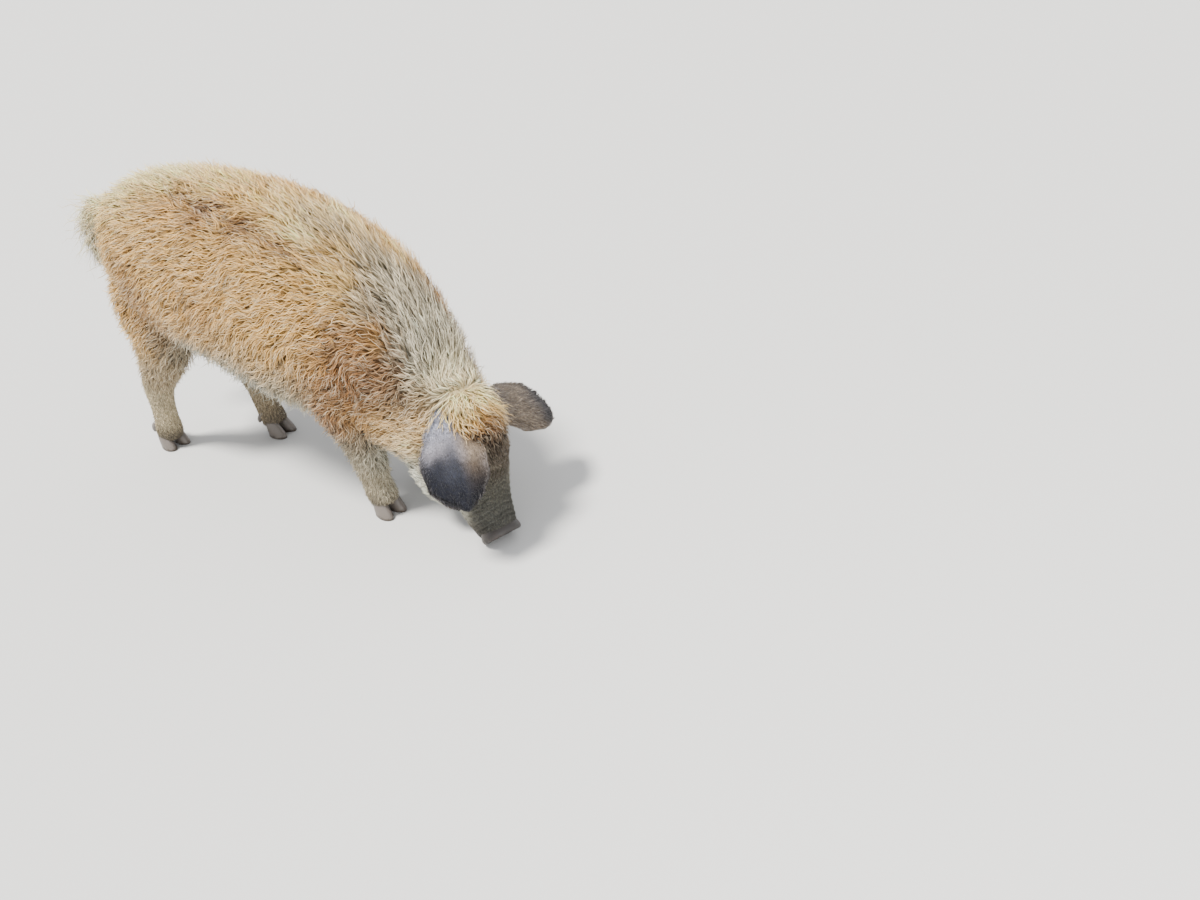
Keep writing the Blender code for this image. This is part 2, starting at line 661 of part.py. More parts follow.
def mouth_cutter(collection):
    """A thin curved plate that goes a little way into the head, round the front of the muzzle."""
    plate = bmesh.new()
    steps = 5
    rings = []
    for k in range(steps + 1):
        x = MOUTH_BACK + (MOUTH_FRONT + 0.05 - MOUTH_BACK) * k / steps
        z = mouth_height(min(x, MOUTH_FRONT))
        corners = ((-1, -1), (1, -1), (1, 1), (-1, 1))
        rings.append([plate.verts.new((x, 0.12 * y, z + MOUTH_OPEN / 2 * up)) for y, up in corners])
    skin_rings(plate, rings)
    cutter = from_bmesh("mouth", plate, collection)
    thinner = [s._replace(wide=s.wide - MOUTH_DEEP, tall=s.tall - MOUTH_DEEP, wool=0) for s in SKULL]
    core = loft("mouth_core", thinner, Vector((0, 1, 0)), collection, steps=1, sides=16)
    boolean(cutter, core, "DIFFERENCE")
    remove([core])
    cutter.data.transform(head_frame())
    return cutter


def toe(name, at, turn, side, collection):
    """One half of a cloven hoof, flat on the ground."""
    rows = (
        Section(0.012, 0, 0.000, TOE_WIDTH / 2, TOE_LENGTH / 2, 0),
        Section(0.012, 0, 0.007, TOE_WIDTH / 2, TOE_LENGTH / 2 * 0.98, 0),
        Section(0.004, 0, 0.028, TOE_WIDTH / 2 * 0.92, TOE_LENGTH / 2 * 0.82, 0),
        Section(-0.004, 0, HOOF_HEIGHT, TOE_WIDTH / 2 * 0.75, TOE_LENGTH / 2 * 0.62, 0),
    )
    splay = Matrix.Rotation(math.radians(5 * side), 4, "Z")
    frame = Matrix.Translation(at) @ turn @ Matrix.Translation((0, (TOE_WIDTH / 2 + 0.0012) * side, 0)) @ splay
    return loft(
        name, rows, Vector((0, 1, 0)), collection, steps=1, sides=10, square=2.3, frame=frame, level=True)


def dewclaw(name, at, turn, side, collection):
    """A small claw behind the pastern, clear of the ground."""
    rows = (
        Section(-0.020, 0, 0.078, 0.009, 0.010, 0),
        Section(-0.036, 0, 0.066, 0.010, 0.011, 0),
        Section(-0.048, 0, 0.050, 0.008, 0.009, 0),
        Section(-0.053, 0, 0.038, 0.004, 0.004, 0),
    )
    frame = Matrix.Translation(at) @ turn @ Matrix.Translation((0, 0.019 * side, 0))
    return loft(name, rows, Vector((0, 1, 0)), collection, steps=1, sides=5, frame=frame)


def make_hooves(collection):
    """Two toes and two dewclaws for each foot, by node name."""
    made = []
    for leg, sections in LEGS.items():
        foot = sections[-1]
        at = Vector((foot.x, foot.y, 0))
        turn = Matrix.Rotation(math.radians(TOE_TURN[leg]), 4, "Z")
        outer = -1 if leg.endswith("right") else 1
        for word, side in (("outer", outer), ("inner", -outer)):
            made.append(toe(leg.replace("leg", "hoof") + "_" + word, at, turn, side, collection))
            made.append(dewclaw(leg.replace("leg", "dewclaw") + "_" + word, at, turn, side, collection))
    return made


def along_row(row, share):
    """A value read from a row of (share, value) pairs, smoothly."""
    for (a, first), (b, second) in zip(row, row[1:]):
        if share <= b:
            part = (share - a) / (b - a)
            return first + (second - first) * part * part * (3 - 2 * part)
    return row[-1][1]


def ear(name, side, root, along, back, bend, collection):
    """A lop ear: a leaf rolled to a funnel at its root, bent along its length."""
    along = along.normalized()
    back = (back - along * back.dot(along)).normalized()
    across = back.cross(along)
    middle = root.copy()
    bm = bmesh.new()
    rows = []
    for i in range(EAR_ROWS + 1):
        share = i / EAR_ROWS
        turn = math.radians(bend[0] + (bend[1] - bend[0]) * share)
        line = along * math.cos(turn) - back * math.sin(turn)
        out = along * math.sin(turn) + back * math.cos(turn)
        if i:
            middle = middle + line * (EAR_LENGTH / EAR_ROWS)
        half = EAR_WIDTH / 2 * along_row(EAR_OUTLINE, share)
        curl = math.radians(along_row(EAR_CURL, share))
        radius = half / curl
        outer, inner = [], []
        for k in range(EAR_COLUMNS + 1):
            place = 2 * k / EAR_COLUMNS - 1
            angle = place * curl
            normal = across * math.sin(angle) + out * math.cos(angle)
            point = middle + normal * radius - out * radius
            ripple = EAR_RIPPLE * math.sin(7 * share + 2.2 * side) * place**2 * share
            thick = EAR_THICK * (1.0 - 0.55 * abs(place) ** 3) * (1.0 - 0.45 * share)
            outer.append(bm.verts.new(point + out * ripple))
            inner.append(bm.verts.new(point + out * ripple - normal * thick))
        rows.append((outer, inner))
    for (outer, inner), (outer_next, inner_next) in zip(rows, rows[1:]):
        for k in range(EAR_COLUMNS):
            bm.faces.new((outer[k], outer[k + 1], outer_next[k + 1], outer_next[k]))
            bm.faces.new((inner[k + 1], inner[k], inner_next[k], inner_next[k + 1]))
        bm.faces.new((inner[0], outer[0], outer_next[0], inner_next[0]))
        bm.faces.new((outer[-1], inner[-1], inner_next[-1], outer_next[-1]))
    for outer, inner in (rows[0], rows[-1]):
        for k in range(EAR_COLUMNS):
            bm.faces.new((outer[k], inner[k], inner[k + 1], outer[k + 1]))
    bm.transform(head_frame())
    bmesh.ops.triangulate(bm, faces=bm.faces)
    return from_bmesh(name, bm, collection)


def make_ears(collection):
    """The right ear hangs over the face, the left one stands out to its side, as in life while rooting."""
    right = ear(
        "ear_right", -1, Vector((-0.058, -0.066, 0.062)), Vector((0.90, -0.24, 0.26)),
        Vector((-0.28, -0.38, 0.85)), (-10, 26), collection)
    left = ear(
        "ear_left", 1, Vector((-0.042, 0.078, 0.040)), Vector((0.34, 0.80, -0.42)),
        Vector((-0.31, 0.64, 0.70)), (-8, 12), collection)
    return [right, left]


def islands(bm):
    """The number of the closed body that each vertex belongs to, and how many bodies there are."""
    number = {}
    count = 0
    for start in bm.verts:
        if start.index in number:
            continue
        waiting = [start]
        number[start.index] = count
        while waiting:
            for edge in waiting.pop().link_edges:
                for other in edge.verts:
                    if other.index not in number:
                        number[other.index] = count
                        waiting.append(other)
        count += 1
    return number, count


def drop_folds(bm):
    """Takes out pairs of faces that lie back to back on the same corners."""
    seen = {}
    folded = []
    for face in bm.faces:
        corners = frozenset(face.verts)
        if corners in seen:
            folded += [face, seen.pop(corners)]
        else:
            seen[corners] = face
    bmesh.ops.delete(bm, geom=folded, context="FACES_ONLY")
    bmesh.ops.delete(bm, geom=[edge for edge in bm.edges if not edge.link_faces], context="EDGES")
    bmesh.ops.delete(bm, geom=[vert for vert in bm.verts if not vert.link_edges], context="VERTS")
    bmesh.ops.holes_fill(bm, edges=[edge for edge in bm.edges if len(edge.link_faces) == 1], sides=3)


def loose_parts(obj, collection):
    """Each closed body in obj as an object of its own, the largest first."""
    bm = bmesh.new()
    bm.from_mesh(obj.data)
    bmesh.ops.dissolve_degenerate(bm, dist=0.00001, edges=bm.edges)
    bmesh.ops.triangulate(bm, faces=bm.faces)
    drop_folds(bm)
    bm.verts.index_update()
    number, count = islands(bm)
    parts = []
    for island in range(count):
        piece = bm.copy()
        others = [vert for vert in piece.verts if number[vert.index] != island]
        bmesh.ops.delete(piece, geom=others, context="VERTS")
        volume = abs(piece.calc_volume())
        mesh = bpy.data.meshes.new("part")
        piece.to_mesh(mesh)
        piece.free()
        parts.append((volume, add_object("part", mesh, collection)))
    bm.free()
    remove([obj])
    parts.sort(key=lambda pair: -pair[0])
    return [part for _, part in parts]


def name_parts(parts):
    """Names the body's parts by the point that each holds, and drops loose scraps."""
    kept = []
    for name, point in PART_AT.items():
        for part in parts:
            tree = surface_of(part)
            hit, normal = tree.ray_cast(point, Vector((0, 0, 1)))[:2]
            if part not in kept and hit and normal.z > 0:
                part.name = part.data.name = name
                kept.append(part)
                break
    remove([part for part in parts if part not in kept])
    return kept


def under_floor(collection):
    """A block under the ground, which flattens what would reach into it."""
    bm = bmesh.new()
    bmesh.ops.create_cube(bm, size=1.0)
    bm.transform(Matrix.Translation((0.6, 0, -0.25)) @ Matrix.Diagonal((2.4, 1.4, 0.5, 1)))
    return from_bmesh("under_floor", bm, collection)


def rest_on_floor(objects):
    """Moves everything so that the origin is the bottom centre of the whole animal's box."""
    corners = [obj.matrix_world @ vert.co for obj in objects for vert in obj.data.vertices]
    low = Vector([min(c[k] for c in corners) for k in range(3)])
    high = Vector([max(c[k] for c in corners) for k in range(3)])
    middle = (low + high) / 2
    for obj in objects:
        obj.data.transform(Matrix.Translation((-middle.x, -middle.y, -low.z)))


def main():
    """Builds the animal."""
    for obj in list(bpy.data.objects):
        bpy.data.objects.remove(obj)
    scene = bpy.context.scene.collection
    animal = bpy.data.collections.new("curly_coated_sow")
    added = bpy.data.collections.new("joined_to_flesh")
    cutters = bpy.data.collections.new("cutters")
    for collection in (animal, added, cutters):
        scene.children.link(collection)

    flesh = thin_out(make_flesh(animal))
    tree = surface_of(flesh)
    hooves = make_hooves(animal)
    ears = make_ears(animal)
    tail = loft("tail", TAIL, Vector((0, 1, 0)), animal, steps=2, sides=9)
    eyes = []
    draw = random.Random(LOCK_SEED)
    for name, side in (("eye_right", -1), ("eye_left", 1)):
        frame = eye_frame(tree, side)
        eyes.append(ball(name, Vector(), (EYE_RADIUS,) * 3, animal, frame=frame))
        eyelids(frame, added)
    keep_off = [surface_of(obj) for obj in ears + eyes + [tail]]
    trunk_locks(tree, keep_off, added, draw)
    limb_locks(tree, keep_off, added, draw)
    head_locks(tree, keep_off, added, draw)
    snout_disc(added)
    lips(tree, added)
    boolean(flesh, added, "UNION", "MANIFOLD")
    remove(added.objects)
    tail_locks(added, draw)
    boolean(tail, added, "UNION", "MANIFOLD")
    remove(added.objects)
    clear = inflated(flesh, GAP, cutters)
    for piece in ears + [tail]:
        boolean(piece, clear, "DIFFERENCE", "MANIFOLD")
    remove([clear])

    for piece in hooves + eyes:
        inflated(piece, GAP, cutters)
    for side in (-1, 1):
        nostril = DISC_AT + Vector((DISC_THICK / 2 + 0.002, NOSTRIL_Y * side, NOSTRIL_Z))
        ball("nostril", nostril, NOSTRIL_HALF, cutters, frame=head_frame())
    mouth_cutter(cutters)
    for cut in CUTS:
        cutting_plate(cut, cutters)
    under_floor(cutters)
    boolean(flesh, cutters, "DIFFERENCE", "MANIFOLD")
    remove(cutters.objects)

    parts = name_parts(loose_parts(flesh, animal))
    for piece in ears + [tail]:
        name = piece.name
        whole = loose_parts(piece, animal)
        whole[0].name = whole[0].data.name = name
        remove(whole[1:])
    finishes = {name: material(name) for name in COLOURS}
    for obj in animal.objects:
        kind = obj.name.split("_")[0]
        obj.data.materials.clear()
        obj.data.materials.append(finishes[{"dewclaw": "hoof"}.get(kind, kind if kind in COLOURS else "coat")])
    rest_on_floor(list(animal.objects))


main()
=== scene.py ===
"""A curly-coated sow at life size, rooting with its snout on the floor, as a museum shows it.

One smooth skin is lofted from oval sections and fused, and its face is folded round the eyes and the mouth.
Tufts of hair lie over it in waves. The ears, eyes, snout and hooves are fine pieces of their own.

Metres, +X to the head, +Y to the animal's left, +Z up. Sections are written from a point under the rear end
of the back, and every finished mesh is moved by ORIGIN into the model's own frame.
"""

import logging
import math
from collections.abc import Callable, Sequence
from dataclasses import dataclass, field
from enum import Enum
from typing import NamedTuple

import bmesh
import bpy
import numpy as np
from mathutils import Matrix, Vector
from mathutils.bvhtree import BVHTree
from mathutils.kdtree import KDTree


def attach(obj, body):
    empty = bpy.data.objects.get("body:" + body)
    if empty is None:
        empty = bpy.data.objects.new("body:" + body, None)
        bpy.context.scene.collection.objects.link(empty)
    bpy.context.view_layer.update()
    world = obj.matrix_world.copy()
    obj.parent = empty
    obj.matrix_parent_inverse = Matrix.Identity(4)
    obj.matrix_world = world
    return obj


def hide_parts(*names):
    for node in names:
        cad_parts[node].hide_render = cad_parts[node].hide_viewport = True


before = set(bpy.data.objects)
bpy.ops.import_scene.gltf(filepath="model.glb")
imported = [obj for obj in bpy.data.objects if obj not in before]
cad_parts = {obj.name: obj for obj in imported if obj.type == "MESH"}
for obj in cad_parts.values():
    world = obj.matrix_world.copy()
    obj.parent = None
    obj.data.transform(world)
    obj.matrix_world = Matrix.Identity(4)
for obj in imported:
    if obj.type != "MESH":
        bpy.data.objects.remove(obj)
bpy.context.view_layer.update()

logging.basicConfig(level=logging.INFO, format="%(message)s")
LOG = logging.getLogger("sow")

# The model's origin, and where the head's own frame stands and points, in the animal's frame.
ORIGIN = Vector((0.51824, 0.0001, 0.0))
HEAD_AT = Vector((1.090, -0.036, 0.285))
HEAD_ALONG = Vector((0.510, -0.210, -0.83)).normalized()
HIP_Y = 0.112
SHOULDER_Y = 0.118
# The head, and then its face, lie only past these places along the body.
NAPE_X = 0.95
FACE_X = 0.98
# The side of a tuft's patch on the unwrap.
BAKE_PATCH = 0.003
WHITE = (1.0, 1.0, 1.0)
# The least height of the skin and the snout over the floor.
CLEAR = 0.0004

Array = np.ndarray
Shape = bmesh.types.BMesh
Mesh = bpy.types.Mesh
Piece = bpy.types.Object
Finish = bpy.types.Material
Tree = bpy.types.NodeTree
Node = bpy.types.Node
Place = Callable[[float, float], Vector]


class Oval(NamedTuple):
    """One oval section of a limb: its centre, half width across and half height."""

    x: float
    y: float
    z: float
    wide: float
    tall: float


class Growth(NamedTuple):
    """How the coat grows near one place of the body.

    way is the lie, length and width are a tuft's in metres, wave is how far it swings in degrees, lift how
    high it lies over the skin, stand how steeply it rises, and reach how far this growth carries.
    """

    at: tuple[float, float, float]
    way: tuple[float, float, float]
    length: float
    width: float
    wave: float
    lift: float
    stand: float
    reach: float = 0.10


class Marking(NamedTuple):
    """A colour of the coat near one place: its shade, how far it carries, and how much tufts differ."""

    at: tuple[float, float, float]
    shade: tuple[int, int, int]
    reach: float = 0.05
    fleck: float = 0.32


def table(kind: type, *rows: tuple) -> tuple:
    """The rows, each made one of this kind."""
    return tuple(kind(*row) for row in rows)


# The body's sections, each limb's from its root to its end.
TRUNK = table(
    Oval,
    (-0.008, 0.000, 0.602, 0.026, 0.042),
    (0.010, 0.000, 0.599, 0.060, 0.080),
    (0.054, 0.000, 0.586, 0.101, 0.128),
    (0.118, 0.000, 0.586, 0.141, 0.168),
    (0.205, 0.000, 0.607, 0.180, 0.187),
    (0.350, 0.000, 0.591, 0.209, 0.216),
    (0.500, 0.000, 0.568, 0.220, 0.234),
    (0.620, 0.000, 0.532, 0.219, 0.240),
    (0.730, 0.000, 0.486, 0.208, 0.229),
    (0.815, 0.000, 0.440, 0.188, 0.204),
    (0.888, -0.003, 0.386, 0.164, 0.174),
    (0.945, -0.010, 0.334, 0.143, 0.146),
    (0.998, -0.020, 0.294, 0.125, 0.133),
    (1.048, -0.028, 0.262, 0.108, 0.122),
)
# The head in its own frame: x to the snout, y to its left, z out of the forehead.
SKULL = table(
    Oval,
    (-0.100, 0.0, -0.050, 0.070, 0.062),
    (-0.045, 0.0, -0.020, 0.086, 0.106),
    (0.025, 0.0, -0.014, 0.084, 0.120),
    (0.080, 0.0, -0.028, 0.074, 0.110),
    (0.130, 0.0, -0.045, 0.067, 0.095),
    (0.175, 0.0, -0.056, 0.061, 0.080),
    (0.215, 0.0, -0.059, 0.056, 0.067),
    (0.250, 0.0, -0.057, 0.051, 0.055),
    (0.272, 0.0, -0.054, 0.048, 0.048),
)
# The cheekbones, jowls and brows: the middle and half sizes of each, in the head's frame.
SWELLINGS = (
    ((0.060, 0.050, 0.000), (0.070, 0.031, 0.046)),
    ((0.045, 0.064, -0.104), (0.120, 0.050, 0.074)),
    ((0.072, 0.044, 0.048), (0.036, 0.024, 0.022)),
)
HIND_RIGHT = table(
    Oval,
    (0.158, -0.085, 0.600, 0.058, 0.086),
    (0.171, -0.108, 0.500, 0.068, 0.100),
    (0.168, -HIP_Y, 0.405, 0.061, 0.084),
    (0.134, -HIP_Y, 0.320, 0.046, 0.060),
    (0.084, -0.108, 0.252, 0.037, 0.046),
    (0.054, -0.104, 0.200, 0.032, 0.041),
    (0.040, -0.100, 0.145, 0.029, 0.034),
    (0.030, -0.097, 0.095, 0.030, 0.035),
    (0.022, -0.095, 0.058, 0.034, 0.038),
    (0.014, -0.094, 0.034, 0.033, 0.034),
)
HIND_LEFT = table(
    Oval,
    (0.156, 0.085, 0.600, 0.058, 0.090),
    (0.172, 0.108, 0.500, 0.068, 0.102),
    (0.174, HIP_Y, 0.405, 0.062, 0.092),
    (0.178, HIP_Y, 0.310, 0.050, 0.074),
    (0.182, 0.108, 0.245, 0.037, 0.050),
    (0.193, 0.104, 0.200, 0.032, 0.041),
    (0.220, 0.098, 0.145, 0.029, 0.034),
    (0.243, 0.092, 0.095, 0.030, 0.035),
    (0.262, 0.088, 0.058, 0.034, 0.038),
    (0.274, 0.086, 0.034, 0.033, 0.034),
)
FORE_RIGHT = table(
    Oval,
    (0.785, -0.105, 0.470, 0.062, 0.100),
    (0.795, -SHOULDER_Y, 0.370, 0.064, 0.084),
    (0.812, -SHOULDER_Y, 0.290, 0.054, 0.062),
    (0.826, -0.114, 0.225, 0.042, 0.050),
    (0.832, -0.108, 0.165, 0.036, 0.042),
    (0.832, -0.104, 0.115, 0.031, 0.036),
    (0.834, -0.100, 0.085, 0.031, 0.036),
    (0.840, -0.098, 0.055, 0.035, 0.038),
    (0.845, -0.097, 0.034, 0.033, 0.034),
)
FORE_LEFT = tuple(s._replace(x=s.x + 0.03 * (0.47 - s.z) / 0.436, y=-s.y) for s in FORE_RIGHT)
TAIL = table(
    Oval,
    (0.020, 0.000, 0.668, 0.028, 0.028),
    (-0.040, 0.000, 0.684, 0.023, 0.023),
    (-0.098, 0.002, 0.684, 0.018, 0.018),
    (-0.144, 0.006, 0.658, 0.015, 0.015),
    (-0.164, 0.009, 0.612, 0.013, 0.013),
    (-0.166, 0.010, 0.564, 0.011, 0.011),
    (-0.156, 0.008, 0.516, 0.008, 0.008),
)


class Leg(Enum):
    """The four legs, by the words that end their nodes' names."""

    HIND_RIGHT = "hind_right"
    HIND_LEFT = "hind_left"
    FRONT_RIGHT = "front_right"
    FRONT_LEFT = "front_left"


LEG_OVALS = {
    Leg.HIND_RIGHT: HIND_RIGHT,
    Leg.HIND_LEFT: HIND_LEFT,
    Leg.FRONT_RIGHT: FORE_RIGHT,
    Leg.FRONT_LEFT: FORE_LEFT,
}
TOE_TURN = {Leg.HIND_RIGHT: -8, Leg.HIND_LEFT: 6, Leg.FRONT_RIGHT: -10, Leg.FRONT_LEFT: 8}

# Growth of the body's coat. A row with y above 0 holds on both sides, here and in the next tables.
BODY_GROWTH = table(
    Growth,
    ((0.05, 0.0, 0.75), (-1.0, 0.0, -0.5), 0.044, 0.0025, 24, 0.026, 8),
    ((0.0, 0.0, 0.6), (-0.3, 0.0, -1.0), 0.044, 0.0025, 18, 0.019, 14, 0.07),
    ((0.02, 0.08, 0.5), (-0.5, 0.1, -1.0), 0.048, 0.0025, 22, 0.018, 20, 0.08),
    ((0.1, 0.15, 0.68), (-0.9, 0.0, -0.7), 0.042, 0.0025, 22, 0.022, 8),
    ((0.25, 0.0, 0.81), (-1.0, 0.0, 0.0), 0.048, 0.0024, 26, 0.031, 16, 0.09),
    ((0.4, 0.0, 0.82), (-1.0, 0.0, 0.1), 0.052, 0.0024, 30, 0.032, 18, 0.09),
    ((0.26, 0.17, 0.7), (-0.9, 0.0, -0.6), 0.044, 0.0025, 24, 0.025, 8),
    ((0.42, 0.18, 0.72), (-0.9, 0.2, -0.4), 0.048, 0.0025, 30, 0.025, 8),
    ((0.2, 0.18, 0.52), (-0.7, 0.0, -0.9), 0.042, 0.0025, 26, 0.021, 10),
    ((0.35, 0.21, 0.56), (-0.8, 0.0, -0.7), 0.044, 0.0025, 30, 0.023, 10),
    ((0.52, 0.22, 0.58), (-0.8, 0.0, -0.6), 0.044, 0.0025, 34, 0.023, 10),
    ((0.5, 0.19, 0.42), (-0.7, 0.0, -0.9), 0.048, 0.0025, 34, 0.022, 12),
    ((0.33, 0.17, 0.42), (-0.7, 0.0, -0.9), 0.05, 0.0025, 28, 0.022, 12),
    ((0.45, 0.08, 0.34), (-0.9, 0.2, -0.4), 0.06, 0.0027, 30, 0.02, 26),
    ((0.28, 0.06, 0.37), (-0.9, 0.2, -0.4), 0.06, 0.0027, 26, 0.02, 26),
    ((0.64, 0.08, 0.29), (-0.8, 0.2, -0.6), 0.058, 0.0027, 30, 0.02, 26),
    ((0.55, 0.0, 0.8), (-1.0, 0.0, 0.2), 0.064, 0.0024, 36, 0.021, 10, 0.09),
    ((0.6, 0.13, 0.73), (-0.9, 0.5, 0.1), 0.06, 0.0024, 44, 0.02, 6, 0.09),
    ((0.72, 0.0, 0.73), (-0.85, 0.0, 0.5), 0.07, 0.0024, 24, 0.014, 9, 0.09),
    ((0.75, 0.12, 0.68), (-0.8, 0.5, 0.3), 0.062, 0.0024, 38, 0.017, 6, 0.08),
    ((0.85, 0.0, 0.66), (-0.75, 0.0, 0.6), 0.068, 0.0024, 18, 0.022, 12, 0.08),
    ((0.93, 0.05, 0.58), (-0.7, 0.2, 0.5), 0.062, 0.0024, 20, 0.026, 8, 0.07),
    ((1.02, 0.0, 0.48), (-0.6, 0.0, 0.7), 0.058, 0.0024, 18, 0.026, 12, 0.07),
    ((0.68, 0.21, 0.56), (-0.8, 0.0, -0.4), 0.042, 0.0025, 42, 0.024, 12, 0.09),
    ((0.72, 0.2, 0.42), (-0.6, 0.0, -0.8), 0.042, 0.0025, 48, 0.023, 14, 0.09),
    ((0.84, 0.17, 0.55), (-0.8, 0.0, -0.3), 0.042, 0.0025, 46, 0.023, 14, 0.08),
    ((0.88, 0.17, 0.42), (-0.7, 0.0, -0.5), 0.041, 0.0025, 52, 0.023, 16, 0.08),
    ((0.98, 0.14, 0.36), (-0.7, 0.0, -0.4), 0.041, 0.0024, 54, 0.021, 16, 0.07),
    ((0.92, 0.05, 0.19), (-0.8, 0.0, -0.4), 0.052, 0.003, 34, 0.018, 24, 0.08),
    ((0.8, 0.04, 0.24), (-0.6, 0.0, -0.8), 0.054, 0.003, 34, 0.018, 24, 0.08),
    ((0.17, 0.17, 0.4), (-0.6, 0.0, -1.0), 0.036, 0.0024, 34, 0.015, 10, 0.07),
    ((0.07, 0.13, 0.4), (-0.8, 0.0, -0.8), 0.044, 0.0024, 26, 0.016, 18, 0.07),
    ((0.13, 0.12, 0.3), (-0.5, 0.0, -1.0), 0.023, 0.0025, 24, 0.007, 8, 0.06),
    ((0.81, 0.16, 0.29), (-0.4, 0.0, -1.0), 0.028, 0.0024, 40, 0.009, 9, 0.06),
    ((0.83, 0.14, 0.21), (-0.3, 0.0, -1.0), 0.018, 0.0023, 22, 0.004, 7, 0.05),
    ((0.06, 0.11, 0.2), (-0.3, 0.0, -1.0), 0.015, 0.002, 14, 0.003, 5, 0.06),
    ((0.19, 0.1, 0.2), (-0.2, 0.0, -1.0), 0.015, 0.002, 14, 0.003, 5, 0.06),
    ((0.84, 0.11, 0.14), (-0.2, 0.0, -1.0), 0.014, 0.002, 14, 0.003, 5, 0.05),
    ((0.03, 0.1, 0.09), (0.1, 0.0, -1.0), 0.012, 0.0017, 12, 0.002, 5, 0.05),
    ((0.25, 0.09, 0.09), (0.1, 0.0, -1.0), 0.012, 0.0017, 12, 0.002, 5, 0.05),
    ((0.84, 0.1, 0.07), (0.1, 0.0, -1.0), 0.012, 0.0017, 12, 0.002, 5, 0.04),
    ((-0.02, 0.0, 0.7), (-1.0, 0.0, -0.1), 0.044, 0.0026, 14, 0.012, 24, 0.04),
    ((-0.09, 0.0, 0.69), (-1.0, 0.0, -0.8), 0.084, 0.0023, 14, 0.01, 38, 0.04),
    ((-0.15, 0.0, 0.65), (-0.6, 0.0, -1.0), 0.098, 0.0023, 16, 0.01, 34, 0.04),
    ((-0.16, 0.0, 0.58), (-0.1, 0.0, -1.0), 0.098, 0.0023, 16, 0.009, 26, 0.05),
)
# Growth of the head's coat, in the head's own frame.
HEAD_GROWTH = table(
    Growth,
    ((-0.1, 0.0, 0.06), (-1.0, 0.0, -0.3), 0.054, 0.0024, 18, 0.026, 12, 0.05),
    ((-0.05, 0.03, 0.09), (1.0, 0.1, 0.0), 0.052, 0.0024, 30, 0.024, 12, 0.04),
    ((0.0, 0.0, 0.1), (1.0, 0.0, 0.0), 0.042, 0.0024, 42, 0.02, 12, 0.05),
    ((0.05, 0.02, 0.09), (1.0, 0.2, 0.0), 0.016, 0.0022, 40, 0.006, 10, 0.026),
    ((0.09, 0.0, 0.08), (1.0, 0.0, 0.0), 0.013, 0.0018, 20, 0.003, 7, 0.03),
    ((0.1, 0.05, 0.05), (-0.4, 1.0, 0.2), 0.012, 0.0017, 10, 0.003, 7, 0.025),
    ((0.14, 0.0, 0.05), (-1.0, 0.0, 0.1), 0.013, 0.0017, 10, 0.003, 5, 0.035),
    ((0.2, 0.0, 0.02), (-1.0, 0.0, 0.1), 0.01, 0.0015, 10, 0.002, 6, 0.04),
    ((0.2, 0.06, -0.05), (-1.0, 0.0, -0.1), 0.011, 0.0015, 10, 0.002, 6, 0.04),
    ((0.25, 0.03, -0.04), (-1.0, 0.0, 0.0), 0.007, 0.0013, 8, 0.0015, 8, 0.04),
    ((0.12, 0.07, -0.03), (-1.0, 0.0, -0.2), 0.015, 0.0019, 14, 0.004, 8, 0.04),
    ((0.05, 0.09, -0.02), (-1.0, 0.0, -0.3), 0.024, 0.0024, 24, 0.007, 10, 0.04),
    ((-0.02, 0.09, -0.04), (-1.0, 0.1, -0.4), 0.036, 0.0024, 38, 0.012, 12, 0.045),
    ((0.1, 0.09, -0.11), (-1.0, 0.0, -0.3), 0.02, 0.0022, 16, 0.005, 12, 0.04),
    ((0.02, 0.11, -0.11), (-1.0, 0.0, -0.5), 0.032, 0.0027, 26, 0.009, 14, 0.05),
    ((0.05, 0.03, -0.16), (-1.0, 0.0, -0.3), 0.034, 0.0024, 22, 0.009, 20, 0.05),
    ((0.17, 0.02, -0.13), (-1.0, 0.0, -0.2), 0.016, 0.0019, 12, 0.004, 16, 0.04),
    ((0.25, 0.02, -0.11), (-1.0, 0.0, 0.0), 0.009, 0.0015, 8, 0.002, 14, 0.03),
)

# Shades of the coat and the ears, from 0 to 255.
CREAM = (254, 226, 158)
STRAW = (244, 204, 126)
TAN = (212, 168, 94)
ORANGE = (186, 138, 70)
RUST = (148, 102, 54)
SILVER = (176, 166, 142)
OLIVE = (146, 128, 96)
LILAC = (154, 158, 176)
PALE = (192, 196, 184)
BUFF = (222, 198, 154)
TAUPE = (144, 116, 82)
DUSK = (96, 88, 74)
SLATE = (27, 29, 38)

# Lines where the coat parts into folds, on both sides: how strong, and the points along it. The coat lies
# lower and shorter along them, and its colour is darkened there as painted shade.
CREASES = (
    (1.3, ((0.37, 0.092, 0.790), (0.43, 0.104, 0.784), (0.52, 0.114, 0.772), (0.61, 0.119, 0.756),
           (0.70, 0.120, 0.724), (0.777, 0.117, 0.689))),
    (0.9, ((0.80, 0.085, 0.700), (0.883, 0.060, 0.649), (0.938, 0.085, 0.580), (0.975, 0.110, 0.501),
           (0.998, 0.124, 0.434), (1.005, 0.135, 0.380))),
)

